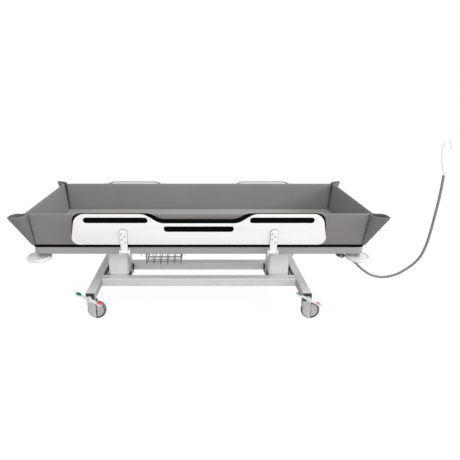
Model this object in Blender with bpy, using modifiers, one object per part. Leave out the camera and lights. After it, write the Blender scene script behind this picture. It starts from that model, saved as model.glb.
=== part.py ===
# Shower trolley: a height-adjustable wheeled stretcher with a soft tub, folding side rails,
# central brake pedals, corner bumper rollers, a wire basket and a drain hose.
# Metres, +Z up. Origin: floor level, under the middle of the bed. +X: towards the drain end.

import math

import bpy
import bmesh
from mathutils import Vector

GAP = 0.0003                # clearance between faces that touch on the real trolley
SOFT_GAP = 0.0006           # clearance between the sewn panels of the tub

# Castors
WHEEL_RADIUS = 0.0625
TYRE_WIDTH = 0.029
TYRE_DEPTH = 0.0142
WHEEL_RIM_WIDTH = 0.025
WHEEL_RIM_DEPTH = 0.009
WHEEL_WEB = 0.009
WHEEL_HUB_RADIUS = 0.013
WHEEL_HUB_TAPER = 0.002
AXLE_RADIUS = 0.005
CASTOR_TRAIL = 0.033
HOOD_WIDTH = 0.046
HOOD_REACH = 0.056
HOOD_CROWN = 0.0094
HOOD_FRONT = 0.026
HOOD_BACK = 0.001
HOOD_EDGE = 0.005
WHEEL_PLAY = 0.0025
WHEEL_SIDE_PLAY = 0.001
AXLE_STAND_OUT = 0.001
TYRE_SHOULDER = 0.007
TYRE_SHOULDER_WIDTH = 0.0065
CASTOR_BEARING = 0.0035
BEARING_RADIUS = 0.020
SWIVEL_PIN_RADIUS = 0.008
SWIVEL_PIN_LENGTH = 0.011
STEM_RADIUS = 0.0145

# Base
CASTOR_SPACING_X = 1.439
LEG_WIDTH = 0.060
LEG_LENGTH = 0.7194
CASTOR_END_INSET = 0.0297
BASE_TUBE_HEIGHT = 0.058
BASE_TUBE_WALL = 0.003
BASE_TUBE_CORNER = 0.004
BEAM_WIDTH = 0.061
BEAM_CLEAR = 0.196
END_CAP_THICKNESS = 0.003
END_CAP_SETBACK = 0.0015
STEM_HEADROOM = 0.002
COVER_STRIP_THICKNESS = 0.002
COVER_STRIP_HEIGHT = 0.048

# Brake
BRAKE_BAR_RADIUS = 0.0063
PEDAL_HUB_RADIUS = 0.0155
PEDAL_HUB_SETBACK = 0.001
PEDAL_WIDTH = 0.028
PEDAL_ARM = 0.075
PEDAL_TIP = 0.020
PEDAL_ROOT_THICKNESS = 0.016
PEDAL_KNEE_THICKNESS = 0.010
PEDAL_TIP_THICKNESS = 0.008
PEDAL_TILT = math.radians(25.0)
PAD_LENGTH = 0.034
PAD_WIDTH = 0.024
PAD_THICKNESS = 0.003

# Lift columns
COLUMN_TO_LEG = 0.1395
COLUMN_LENGTH = 0.145
COLUMN_WIDTH = 0.179
COLUMN_CORNER = 0.022
COLUMN_LEAST_CORNER = 0.002
COLUMN_WALL = 0.004
STAGE_PLAY = 0.002
GLIDE_PLAY = 0.0005
GLIDE_HEIGHT = 0.030
FOOT_PLATE = 0.006
FOOT_WALL = 0.004
FOOT_CLEAR = 0.004
SLEEVE_FLOOR_GAP = 0.010
STAGE_SETBACK = 0.005

# Bed frame, at its lowest height
BED_LENGTH = 2.126
BED_WIDTH = 0.714
BED_UNDERSIDE = 0.480
RAIL_HEIGHT = 0.0475
RAIL_WIDTH = 0.040
RAIL_WALL = 0.0025
RAIL_EDGE = 0.004
RAIL_JOINT = 0.0008
BED_CORNER = 0.044
CROSSBAR_WIDTH = 0.100
PLATFORM_THICKNESS = 0.0157
PLATFORM_OVERHANG = 0.004

# Tub liner
PAD_BASE_THICKNESS = 0.013
TUB_HEIGHT = 0.2155
TUB_WALL = 0.014
TUB_SIDE_FLARE = 0.0235
TUB_END_FLARE = 0.019
TUB_SETBACK = 0.011
GUSSET = 0.015
EAR_REACH = 0.0765
EAR_WALL = 0.010
EAR_ROOT = 0.004

# Side rails
RAIL_LEAN = math.radians(8.6)
RAIL_PIVOT_OUT = 0.020
RAIL_PIVOT_HEIGHT = 0.025
BOARD_LIFT = 0.052
BOARD_THICKNESS = 0.012
BACKING_THICKNESS = 0.008
BOARD_HALF_BOTTOM = 0.806
BOARD_HALF_TOP = 0.761
BOARD_HEIGHT = 0.2112
BOARD_DIP = 0.0634
BOARD_DIP_OUTER = 0.336
BOARD_DIP_INNER = 0.243
BOARD_BOTTOM_CORNER = 0.045
BOARD_TOP_CORNER = 0.070
BOARD_SWEEP = 0.100
BACKING_RISE = 0.006
BACKING_DIP_RISE = 0.028
BACKING_SWEEP_IN = 0.040
BACKING_END = 0.016
BACKING_CORNER = 0.060
SLOT_INSET = 0.0195
SLOT_HEIGHT = 0.035
SLOT_OUTER = 0.716
SLOT_INNER = 0.312
SLOT_SLANT = 0.006
MIDDLE_SLOT_HALF = 0.2205
MIDDLE_SLOT_INSET = 0.0178
MIDDLE_SLOT_HEIGHT = 0.0365
MIDDLE_SLOT_TOP_CORNER = 0.011
MIDDLE_SLOT_FOOT_CORNER = 0.024
ARM_X = 0.470
ARM_TOP_WIDTH = 0.052
ARM_BOTTOM_WIDTH = 0.044
ARM_THICKNESS = 0.007
ARM_ABOVE_BOARD = 0.115
ARM_TAIL = 0.012
ARM_TAIL_CORNER = 0.005
KNUCKLE_RADIUS = 0.0100
HINGE_PIN_RADIUS = 0.006
HINGE_PLAY = 0.0015
LUG_THICKNESS = 0.008
LUG_PLATE = 0.003
LUG_PLATE_INSET = 0.004
LUG_DROP = 0.012
LUG_NOSE = 0.011
LUG_TOP_INSET = 0.006
LUG_FOOT_WIDTH = 0.006
LUG_FOOT_CORNER = 0.003
PIN_STAND_OUT = 0.004

# Bumper rollers
BUMPER_RADIUS = 0.0765
BUMPER_THICKNESS = 0.022
BUMPER_INSET_X = 0.028
BUMPER_INSET_Y = 0.030
BUMPER_DROP = 0.0217
BUMPER_RECESS = 0.005
BUMPER_RIM = 0.011
BUMPER_SHOULDER = 0.005
BUMPER_PIN_RADIUS = 0.008
BUMPER_COLLAR_RADIUS = 0.014
BUMPER_HEAD = 0.005
BUMPER_HEAD_TAPER = 0.003

# Wire basket
BASKET_CENTRE_X = -0.231
BASKET_FLOOR_LENGTH = 0.229
BASKET_RIM_LENGTH = 0.270
BASKET_FRONT = -0.302
BASKET_WIDTH = 0.320
BASKET_TAPER = 0.009
BASKET_DEPTH = 0.098
BASKET_WIRE = 0.002
BASKET_RIM_WIRE = 0.003
BASKET_WELD = 0.0012
BASKET_WIRE_BEND = 0.010
BASKET_RIM_CORNER = 0.012
BASKET_FIRST_CROSS = 0.020
BASKET_LONG_WIRES = 6
BASKET_CROSS_WIRES = 5
HANGER_WIDTH = 0.024
HANGER_LEAF = 0.003
HANGER_DROP = 0.020
HANGER_END_INSET = 0.012

# Drain
DRAIN_X = 0.918
DRAIN_BOWL_RADIUS = 0.028
DRAIN_BOWL_WALL = 0.003
DRAIN_FLANGE_RADIUS = 0.038
DRAIN_FLANGE = 0.0022
DRAIN_BOWL_FLOOR = 0.010
DRAIN_BOWL_DEPTH = 0.054
DRAIN_PLAY = 0.0008
DRAIN_PIPE_RADIUS = 0.0125
DRAIN_PIPE_BEND = 0.026
DRAIN_PIPE_START = 0.004
DRAIN_BOWL_TAPER = 0.002
DRAIN_OUTLET = (0.964, -0.270, 0.430)
COUPLING_RADIUS = 0.0155
COUPLING_LENGTH = 0.019
COUPLING_SETBACK = 0.002
HOSE_RADIUS = 0.0085
HOOK_RADIUS = 0.0048
# Route of the free hose from the coupling to its hooked end pipe, as (x, z) at the outlet's y.
# The first two points of each route are a straight stub that meets the piece before it.
HOSE_ROUTE = (
    (0.9643, 0.4300), (0.973, 0.4300), (0.990, 0.4220), (1.016, 0.4010), (1.050, 0.3770),
    (1.084, 0.3440), (1.120, 0.3150), (1.162, 0.2890), (1.205, 0.2760), (1.250, 0.2715),
    (1.297, 0.2790), (1.342, 0.2950), (1.388, 0.3250), (1.438, 0.3670), (1.478, 0.4230),
    (1.503, 0.4990), (1.517, 0.5850), (1.527, 0.6850), (1.536, 0.7860), (1.541, 0.8760),
    (1.5422, 0.9300), (1.5422, 0.9780),
)
HOOK_ROUTE = (
    (1.5422, 0.9783), (1.5422, 0.9850), (1.5290, 1.0250), (1.5190, 1.0650), (1.5120, 1.1050),
    (1.5095, 1.1400), (1.5120, 1.1700), (1.5200, 1.1930), (1.5310, 1.2020), (1.5430, 1.1980),
    (1.5530, 1.1850), (1.5595, 1.1660), (1.5610, 1.1450),
)

# Levels and places that follow from the sizes above
BASE_UNDERSIDE = 2 * WHEEL_RADIUS + WHEEL_PLAY + HOOD_CROWN + CASTOR_BEARING + 2 * GAP
HOOD_TOP = BASE_UNDERSIDE - CASTOR_BEARING - 2 * GAP
BASE_TOP = BASE_UNDERSIDE + BASE_TUBE_HEIGHT
LEG_X = CASTOR_SPACING_X / 2
CASTOR_Y = LEG_LENGTH / 2 - CASTOR_END_INSET
BRAKE_HEIGHT = BASE_UNDERSIDE + BASE_TUBE_HEIGHT * 0.55
PEDAL_Y = LEG_LENGTH / 2 + GAP + PEDAL_WIDTH / 2
BEAM_Y = (BEAM_CLEAR + BEAM_WIDTH) / 2
COLUMN_X = LEG_X - COLUMN_TO_LEG
PLATFORM_UNDERSIDE = BED_UNDERSIDE + RAIL_HEIGHT + GAP
PLATFORM_TOP = PLATFORM_UNDERSIDE + PLATFORM_THICKNESS
PLATFORM_LENGTH = BED_LENGTH + 2 * PLATFORM_OVERHANG
TUB_BOTTOM = PLATFORM_TOP + GAP
TUB_RIM = TUB_BOTTOM + TUB_HEIGHT
TUB_FLOOR = TUB_BOTTOM + PAD_BASE_THICKNESS
RAIL_PIVOT_Y = BED_WIDTH / 2 + RAIL_PIVOT_OUT
RAIL_PIVOT_Z = BED_UNDERSIDE + RAIL_PIVOT_HEIGHT
BUMPER_X = BED_LENGTH / 2 - BUMPER_INSET_X
BUMPER_Y = BED_WIDTH / 2 - BUMPER_INSET_Y
BUMPER_TOP = BED_UNDERSIDE - BUMPER_DROP
BASKET_RIM_Z = BED_UNDERSIDE - GAP - HANGER_LEAF - GAP - BASKET_RIM_WIRE

COLOURS = {
    "silver": ((0.58, 0.59, 0.60, 1.0), 0.45, 0.35),
    "pale_silver": ((0.66, 0.66, 0.67, 1.0), 0.45, 0.30),
    "white": ((0.87, 0.87, 0.87, 1.0), 0.40, 0.0),
    "black": ((0.012, 0.012, 0.013, 1.0), 0.50, 0.0),
    "castor_grey": ((0.45, 0.46, 0.47, 1.0), 0.45, 0.0),
    "tyre_grey": ((0.07, 0.07, 0.075, 1.0), 0.75, 0.0),
    "vinyl": ((0.19, 0.188, 0.182, 1.0), 0.50, 0.0),
    "steel": ((0.55, 0.55, 0.56, 1.0), 0.30, 0.9),
    "hose_grey": ((0.27, 0.27, 0.28, 1.0), 0.55, 0.0),
}


def make_collection(name):
    collection = bpy.data.collections.new(name)
    bpy.context.scene.collection.children.link(collection)
    return collection


def clear_scene():
    for item in list(bpy.data.objects):
        bpy.data.objects.remove(item, do_unlink=True)


clear_scene()
TROLLEY = make_collection("shower_trolley")
CUTTERS = make_collection("cutters")


def finish_of(name, colour):
    colour_value, roughness, metallic = COLOURS[colour]
    material = bpy.data.materials.new(name)
    material.use_nodes = True
    shader = material.node_tree.nodes["Principled BSDF"]
    shader.inputs["Base Color"].default_value = colour_value
    shader.inputs["Roughness"].default_value = roughness
    shader.inputs["Metallic"].default_value = metallic
    material.diffuse_color = colour_value
    return material


def add_object(name, data, colour, parent=None, collection=TROLLEY):
    item = bpy.data.objects.new(name, data)
    collection.objects.link(item)
    item.parent = parent
    if colour and not data.materials:
        data.materials.append(finish_of(name, colour))
    return item


def add_empty(name, location, rotation=(0.0, 0.0, 0.0), parent=None):
    empty = bpy.data.objects.new(name, None)
    TROLLEY.objects.link(empty)
    empty.location = location
    empty.rotation_euler = rotation
    empty.parent = parent
    return empty


def mesh_from(name, bm):
    bmesh.ops.recalc_face_normals(bm, faces=bm.faces)
    mesh = bpy.data.meshes.new(name)
    bm.to_mesh(mesh)
    bm.free()
    return mesh


def hide_cutter(item):
    for collection in list(item.users_collection):
        collection.objects.unlink(item)
    CUTTERS.objects.link(item)
    item.hide_render = True
    item.display_type = "WIRE"


def combine(item, tool, operation):
    """Cut the tool out of the piece, or weld it on, and put the tool with the cutters."""
    hide_cutter(tool)
    modifier = item.modifiers.new(operation.title(), "BOOLEAN")
    modifier.operation = operation
    modifier.object = tool


def bevel(item, width, segments=2, degrees=30.0):
    modifier = item.modifiers.new("Bevel", "BEVEL")
    modifier.width = width
    modifier.segments = segments
    modifier.limit_method = "ANGLE"
    modifier.angle_limit = math.radians(degrees)


def rounded_outline(corners, steps=5):
    """Points round a polygon whose corners (x, y, radius) become arcs."""
    points = []
    for index, (x, y, radius) in enumerate(corners):
        here = Vector((x, y))
        back = Vector(corners[index - 1][:2]) - here
        ahead = Vector(corners[(index + 1) % len(corners)][:2]) - here
        if radius <= 0.0:
            points.append(here)
            continue
        half = back.angle(ahead) / 2
        reach = min(radius / math.tan(half), 0.49 * back.length, 0.49 * ahead.length)
        radius = reach * math.tan(half)
        middle = (back.normalized() + ahead.normalized()).normalized()
        centre = here + middle * (radius / math.sin(half))
        first = here + back.normalized() * reach - centre
        last = here + ahead.normalized() * reach - centre
        turn = math.atan2(first.x * last.y - first.y * last.x, first.dot(last))
        for step in range(steps + 1):
            angle = turn * step / steps
            cosine, sine = math.cos(angle), math.sin(angle)
            points.append(centre + Vector((first.x * cosine - first.y * sine,
                                           first.x * sine + first.y * cosine)))
    return points


def rectangle(length, width, radius=0.0):
    x, y = length / 2, width / 2
    return [(-x, -y, radius), (x, -y, radius), (x, y, radius), (-x, y, radius)]


def rounded_path(points, radius, steps=4):
    """A 3D polyline whose inner corners are rounded with arcs."""
    route = [Vector(points[0])]
    for before, here, after in zip(points, points[1:], points[2:]):
        here = Vector(here)
        back = (Vector(before) - here).normalized()
        ahead = (Vector(after) - here).normalized()
        half = back.angle(ahead) / 2
        reach = radius / math.tan(half)
        centre = here + (back + ahead).normalized() * (radius / math.sin(half))
        start = here + back * reach - centre
        end = here + ahead * reach - centre
        for step in range(steps + 1):
            route.append(centre + start.slerp(end, step / steps) * radius)
    route.append(Vector(points[-1]))
    return route


def flat_piece(name, outlines, thickness, colour, parent=None):
    """A plate in the local XY plane, centred on it; outlines after the first are holes."""
    curve = bpy.data.curves.new(name, "CURVE")
    curve.dimensions = "2D"
    curve.fill_mode = "BOTH"
    curve.extrude = thickness / 2
    for outline in outlines:
        spline = curve.splines.new("POLY")
        spline.points.add(len(outline) - 1)
        for point, (x, y) in zip(spline.points, outline):
            point.co = (x, y, 0.0, 1.0)
        spline.use_cyclic_u = True
    return solid_from_curve(name, curve, colour, parent)


def solid_from_curve(name, curve, colour, parent=None):
    """Turn a curve into a welded mesh, so that it can be cut, joined and bevelled."""
    source = bpy.data.objects.new(name + "_curve", curve)
    TROLLEY.objects.link(source)
    graph = bpy.context.evaluated_depsgraph_get()
    mesh = bpy.data.meshes.new_from_object(source.evaluated_get(graph))
    bpy.data.objects.remove(source, do_unlink=True)
    bm = bmesh.new()
    bm.from_mesh(mesh)
    bmesh.ops.remove_doubles(bm, verts=bm.verts, dist=0.00001)
    bpy.data.meshes.remove(mesh)
    return add_object(name, mesh_from(name, bm), colour, parent)


def wire_curve(name, routes, radius, resolution=2, closed=False):
    """Round wires along polylines, with filled ends."""
    curve = bpy.data.curves.new(name, "CURVE")
    curve.dimensions = "3D"
    curve.bevel_depth = radius
    curve.bevel_resolution = resolution
    curve.use_fill_caps = not closed
    for route in routes:
        spline = curve.splines.new("POLY")
        spline.points.add(len(route) - 1)
        for point, place in zip(spline.points, route):
            point.co = (*place, 1.0)
        spline.use_cyclic_u = closed
    return curve


def tube(name, section, length, wall, colour, closed=False):
    """A hollow section along local Z from 0 to length, open at both ends or closed on top."""
    bm = bmesh.new()
    ring = [bm.verts.new((x, y, 0.0)) for x, y in section]
    edges = [bm.edges.new((ring[i - 1], ring[i])) for i in range(len(ring))]
    raised = bmesh.ops.extrude_edge_only(bm, edges=edges)["geom"]
    top = [part for part in raised if isinstance(part, bmesh.types.BMVert)]
    bmesh.ops.translate(bm, verts=top, vec=(0.0, 0.0, length))
    if closed:
        bmesh.ops.contextual_create(bm, geom=[part for part in raised
                                              if isinstance(part, bmesh.types.BMEdge)
                                              and all(vert in top for vert in part.verts)])
    item = add_object(name, mesh_from(name, bm), colour)
    shell = item.modifiers.new("Wall", "SOLIDIFY")
    shell.thickness = wall
    shell.offset = -1.0
    shell.use_even_offset = True
    return item


def cylinder(name, radius, depth, colour=None, parent=None, sides=24):
    """A cylinder centred on its origin, along local Z."""
    bm = bmesh.new()
    bmesh.ops.create_cone(bm, cap_ends=True, segments=sides, radius1=radius, radius2=radius,
                          depth=depth)
    return add_object(name, mesh_from(name, bm), colour, parent)


def fix_normals(item):
    bm = bmesh.new()
    bm.from_mesh(item.data)
    bmesh.ops.recalc_face_normals(bm, faces=bm.faces)
    bm.to_mesh(item.data)
    bm.free()


def scale_mesh(item, factors):
    for vert in item.data.vertices:
        vert.co = [value * factor for value, factor in zip(vert.co, factors)]


def box(name, size, colour=None, parent=None):
    bm = bmesh.new()
    bmesh.ops.create_cube(bm, size=1.0)
    bmesh.ops.scale(bm, vec=size, verts=bm.verts)
    return add_object(name, mesh_from(name, bm), colour, parent)


def turned(name, profile, colour, parent=None, steps=28, ring=True):
    """A shape turned about local Z from a profile of (radius, z), outer side downwards."""
    bm = bmesh.new()
    points = [bm.verts.new((radius, 0.0, z)) for radius, z in profile]
    for first, second in zip(points, points[1:]):
        bm.edges.new((first, second))
    if ring:
        bm.edges.new((points[-1], points[0]))
    mesh = bpy.data.meshes.new(name)
    bm.to_mesh(mesh)
    bm.free()
    item = add_object(name, mesh, colour, parent)
    screw = item.modifiers.new("Turn", "SCREW")
    screw.axis = "Z"
    screw.steps = steps
    screw.render_steps = steps
    screw.use_merge_vertices = True
    screw.merge_threshold = 0.00001
    screw.use_smooth_shade = True
    return item


def loft(bm, lower, upper):
    """Add a closed solid between two outlines with the same number of 3D points."""
    low = [bm.verts.new(point) for point in lower]
    high = [bm.verts.new(point) for point in upper]
    bm.faces.new(low)
    bm.faces.new(high)
    for i in range(len(low)):
        bm.faces.new((low[i - 1], low[i], high[i], high[i - 1]))


# Base

def base_section(width):
    return rounded_outline(rectangle(BASE_TUBE_HEIGHT, width, BASE_TUBE_CORNER), steps=1)


def make_beams():
    length = 2 * (LEG_X - LEG_WIDTH / 2 - GAP)
    for name, side in (("base_beam_front", -1), ("base_beam_rear", 1)):
        beam = tube(name, base_section(BEAM_WIDTH), length, BASE_TUBE_WALL, "silver")
        beam.rotation_euler = (0.0, math.pi / 2, 0.0)
        beam.location = (-length / 2, side * BEAM_Y, BASE_UNDERSIDE + BASE_TUBE_HEIGHT / 2)


def leg_outline(margin=0.0):
    return rounded_outline(rectangle(LEG_WIDTH - 2 * margin, BASE_TUBE_HEIGHT - 2 * margin,
                                     BASE_TUBE_CORNER), steps=1)


def make_legs():
    """Cross legs: tube, end caps, cover strip and the two castor stems welded in."""
    middle = BASE_UNDERSIDE + BASE_TUBE_HEIGHT / 2
    length = LEG_LENGTH - 2 * END_CAP_THICKNESS
    for name, side in (("base_leg_left", -1), ("base_leg_right", 1)):
        leg = tube(name, leg_outline(), length, BASE_TUBE_WALL, "pale_silver")
        leg.rotation_euler = (-math.pi / 2, 0.0, 0.0)
        leg.location = (side * LEG_X, -length / 2, middle)
        for end in (-1, 1):
            cap = flat_piece(name + "_cap", [leg_outline(END_CAP_SETBACK)],
                             2 * END_CAP_THICKNESS, None)
            cap.rotation_euler = (math.pi / 2, 0.0, 0.0)
            cap.location = (side * LEG_X, end * length / 2, middle)
            combine(leg, cap, "UNION")
            stem = turned(name + "_stem", stem_profile(), None, steps=10, ring=False)
            stem.location = (side * LEG_X, end * CASTOR_Y, 0.0)
            combine(leg, stem, "UNION")
        strip = box(name + "_strip", (2 * COVER_STRIP_THICKNESS, BEAM_CLEAR - 2 * GAP,
                                      COVER_STRIP_HEIGHT))
        strip.location = (side * (LEG_X - LEG_WIDTH / 2), 0.0, middle)
        combine(leg, strip, "UNION")
        bore = cylinder("brake_bore", BRAKE_BAR_RADIUS + 3 * GAP, 2 * LEG_LENGTH, sides=12)
        bore.rotation_euler = (math.pi / 2, 0.0, 0.0)
        bore.location = (side * LEG_X, 0.0, BRAKE_HEIGHT)
        combine(leg, bore, "DIFFERENCE")


def stem_profile():
    """Swivel pin, bearing flange and the block inside the leg, from the top down."""
    top = BASE_TOP - BASE_TUBE_WALL - STEM_HEADROOM
    flange_top, flange_bottom = BASE_UNDERSIDE + GAP, HOOD_TOP + GAP
    pin_bottom = HOOD_TOP - SWIVEL_PIN_LENGTH
    return [(0.0, top), (STEM_RADIUS, top), (STEM_RADIUS, flange_top),
            (BEARING_RADIUS, flange_top), (BEARING_RADIUS, flange_bottom),
            (SWIVEL_PIN_RADIUS, flange_bottom), (SWIVEL_PIN_RADIUS, pin_bottom),
            (0.0, pin_bottom)]


def make_column_feet():
    """A black channel under each column, held between the two beams."""
    wall = COLUMN_LENGTH / 2 + FOOT_CLEAR
    low, high = BASE_UNDERSIDE + GAP, BASE_TOP - FOOT_WALL
    outline = [(-wall - FOOT_WALL, low), (wall + FOOT_WALL, low), (wall + FOOT_WALL, high),
               (wall, high), (wall, low + FOOT_PLATE), (-wall, low + FOOT_PLATE),
               (-wall, high), (-wall - FOOT_WALL, high)]
    for name, side in (("column_foot_left", -1), ("column_foot_right", 1)):
        foot = flat_piece(name, [outline], BEAM_CLEAR - 2 * GAP, "black")
        foot.rotation_euler = (math.pi / 2, 0.0, 0.0)
        foot.location = (side * COLUMN_X, 0.0, 0.0)


# Castors

def hood_outline():
    """Side view of the fork hood about the axle: a half disc that rises into the crown."""
    top = HOOD_TOP - WHEEL_RADIUS
    front = -CASTOR_TRAIL - HOOD_FRONT
    arc = []
    for step in range(7):
        angle = math.radians(180.0 + 90.0 * step / 6)
        arc.append(Vector((HOOD_REACH * math.cos(angle), HOOD_REACH * math.sin(angle))))
    crown = rounded_outline([(HOOD_BACK, -HOOD_REACH, 0.0), (HOOD_BACK, top, 0.006),
                             (front, top, 0.016), (front, top * 0.45, 0.02)], steps=2)
    return arc + crown


def make_castor(tag, side, end):
    swivel = add_empty("castor_" + tag, (side * LEG_X, end * CASTOR_Y, 0.0))
    hood = flat_piece("castor_hood_" + tag, [hood_outline()], HOOD_WIDTH, "castor_grey", swivel)
    for vert in hood.data.vertices:
        x, y, z = vert.co
        vert.co = (x + CASTOR_TRAIL, -z, y + WHEEL_RADIUS)
    fix_normals(hood)
    bevel(hood, HOOD_EDGE, 1, 60.0)
    slot = cylinder("wheel_slot_" + tag, WHEEL_RADIUS + WHEEL_PLAY, TYRE_WIDTH + 2 * WHEEL_SIDE_PLAY,
                    parent=swivel, sides=24)
    slot.rotation_euler = (math.pi / 2, 0.0, 0.0)
    slot.location = (CASTOR_TRAIL, 0.0, WHEEL_RADIUS)
    combine(hood, slot, "DIFFERENCE")
    bore_depth = SWIVEL_PIN_LENGTH + 2 * GAP
    bore = cylinder("swivel_bore_" + tag, SWIVEL_PIN_RADIUS + 2 * GAP, 2 * bore_depth,
                    parent=swivel, sides=12)
    bore.location = (0.0, 0.0, HOOD_TOP)
    combine(hood, bore, "DIFFERENCE")
    axle = cylinder("axle_" + tag, AXLE_RADIUS, HOOD_WIDTH + 2 * AXLE_STAND_OUT,
                    parent=swivel, sides=12)
    axle.rotation_euler = (math.pi / 2, 0.0, 0.0)
    axle.location = (CASTOR_TRAIL, 0.0, WHEEL_RADIUS)
    combine(hood, axle, "UNION")
    make_wheel(tag, swivel)


def make_wheel(tag, swivel):
    half_tyre, half_rim, half_web = TYRE_WIDTH / 2, WHEEL_RIM_WIDTH / 2, WHEEL_WEB / 2
    rim = WHEEL_RADIUS - TYRE_DEPTH
    inner = rim - WHEEL_RIM_DEPTH
    bore = AXLE_RADIUS + GAP
    half_profile = [(bore, half_tyre), (WHEEL_HUB_RADIUS, half_tyre),
                    (WHEEL_HUB_RADIUS + WHEEL_HUB_TAPER, half_web), (inner, half_web), (rim, half_rim)]
    disc_profile = half_profile + [(r, -z) for r, z in reversed(half_profile)]
    seat = rim + GAP
    crown = [(seat, half_rim), (WHEEL_RADIUS - TYRE_SHOULDER, half_tyre),
             (WHEEL_RADIUS, half_tyre - TYRE_SHOULDER_WIDTH)]
    tyre_profile = crown + [(r, -z) for r, z in reversed(crown)]
    for name, profile, colour in (("castor_wheel_" + tag, disc_profile, "castor_grey"),
                                  ("castor_tyre_" + tag, tyre_profile, "tyre_grey")):
        piece = turned(name, profile, colour, swivel, steps=18)
        piece.rotation_euler = (math.pi / 2, 0.0, 0.0)
        piece.location = (CASTOR_TRAIL, 0.0, WHEEL_RADIUS)


# Central brake

def pedal_outline():
    reach = PEDAL_ARM + PEDAL_TIP
    root, tip = PEDAL_ROOT_THICKNESS / 2, PEDAL_TIP_THICKNESS / 2
    knee, thick = PEDAL_ARM * 0.55, PEDAL_KNEE_THICKNESS / 2
    corners = [(-reach, -tip, tip * 0.9), (-knee, -thick, 0.0), (0.0, -root, 0.0),
               (knee, -thick, 0.0), (reach, -tip, tip * 0.9), (reach, tip, tip * 0.9),
               (knee, thick, 0.0), (0.0, root, 0.0), (-knee, thick, 0.0),
               (-reach, tip, tip * 0.9)]
    return rounded_outline(corners, steps=2)


def make_brake(tag, side):
    """One brake bar through the leg, with a two-armed pedal on each end and its pads."""
    pivot = add_empty("brake_" + tag, (side * LEG_X, 0.0, BRAKE_HEIGHT), (0.0, PEDAL_TILT, 0.0))
    bar = cylinder("pedals_" + tag, BRAKE_BAR_RADIUS, 2 * PEDAL_Y, "white", pivot, sides=6)
    for vert in bar.data.vertices:
        x, y, z = vert.co
        vert.co = (x, -z, y)
    fix_normals(bar)
    for end, word in ((-1, "front"), (1, "rear")):
        arm = flat_piece("pedal_arm_" + word + tag, [pedal_outline()], PEDAL_WIDTH, None, pivot)
        arm.rotation_euler = (math.pi / 2, 0.0, 0.0)
        arm.location = (0.0, end * PEDAL_Y, 0.0)
        combine(bar, arm, "UNION")
        hub = cylinder("pedal_hub_" + word + tag, PEDAL_HUB_RADIUS,
                       PEDAL_WIDTH - PEDAL_HUB_SETBACK, None, pivot, sides=14)
        hub.rotation_euler = (math.pi / 2, 0.0, 0.0)
        hub.location = (0.0, end * PEDAL_Y, 0.0)
        combine(bar, hub, "UNION")
        for toe in (-1, 1):
            pad = cylinder("pedal_pad_" + word + tag, 0.5, 1.0, None, pivot, sides=10)
            scale_mesh(pad, (PAD_LENGTH, PAD_WIDTH, 2 * PAD_THICKNESS))
            pad.location = (toe * PEDAL_ARM, end * PEDAL_Y, PEDAL_TIP_THICKNESS / 2)
            combine(bar, pad, "UNION")


# Lift columns

def column_section(inset):
    corner = max(COLUMN_CORNER - inset, COLUMN_LEAST_CORNER)
    return rounded_outline(rectangle(COLUMN_LENGTH - 2 * inset, COLUMN_WIDTH - 2 * inset,
                                     corner), steps=3)


def stage_with_glide(name, inset, low, high, centre, colour):
    """A telescopic stage with a glide collar at its top that runs in the next stage."""
    stage = tube(name, column_section(inset), high - low, COLUMN_WALL, colour)
    stage.location = (centre, 0.0, low)
    collar = tube(name + "_glide", column_section(inset - STAGE_PLAY + GLIDE_PLAY), GLIDE_HEIGHT,
                  STAGE_PLAY + COLUMN_WALL / 2, None)
    collar.location = (centre, 0.0, high - GLIDE_HEIGHT - GAP)
    combine(stage, collar, "UNION")


def make_columns():
    step = COLUMN_WALL + STAGE_PLAY
    plate_top = BASE_UNDERSIDE + GAP + FOOT_PLATE
    sleeve_top = BED_UNDERSIDE - GAP
    sleeve_bottom = plate_top + SLEEVE_FLOOR_GAP
    stage_top = sleeve_top - COLUMN_WALL - STAGE_SETBACK
    for word, centre in (("left", -COLUMN_X), ("right", COLUMN_X)):
        sleeve = tube("column_sleeve_" + word, column_section(0.0), sleeve_top - sleeve_bottom,
                      COLUMN_WALL, "pale_silver", closed=True)
        sleeve.location = (centre, 0.0, sleeve_bottom)
        stage_with_glide("column_middle_" + word, step, sleeve_bottom - STAGE_SETBACK,
                         stage_top, centre, "pale_silver")
        stage_with_glide("column_lower_" + word, 2 * step, plate_top + GAP,
                         stage_top - STAGE_SETBACK, centre, "silver")


# Bed frame

def rail_section():
    return rounded_outline(rectangle(RAIL_HEIGHT, RAIL_WIDTH, RAIL_EDGE), steps=1)


def make_side_rails():
    length = BED_LENGTH - 2 * BED_CORNER - 2 * RAIL_JOINT
    for name, side in (("bed_rail_front", -1), ("bed_rail_rear", 1)):
        rail = tube(name, rail_section(), length, RAIL_WALL, "silver")
        rail.rotation_euler = (0.0, math.pi / 2, 0.0)
        rail.location = (-length / 2, side * (BED_WIDTH - RAIL_WIDTH) / 2,
                         BED_UNDERSIDE + RAIL_HEIGHT / 2)


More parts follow.
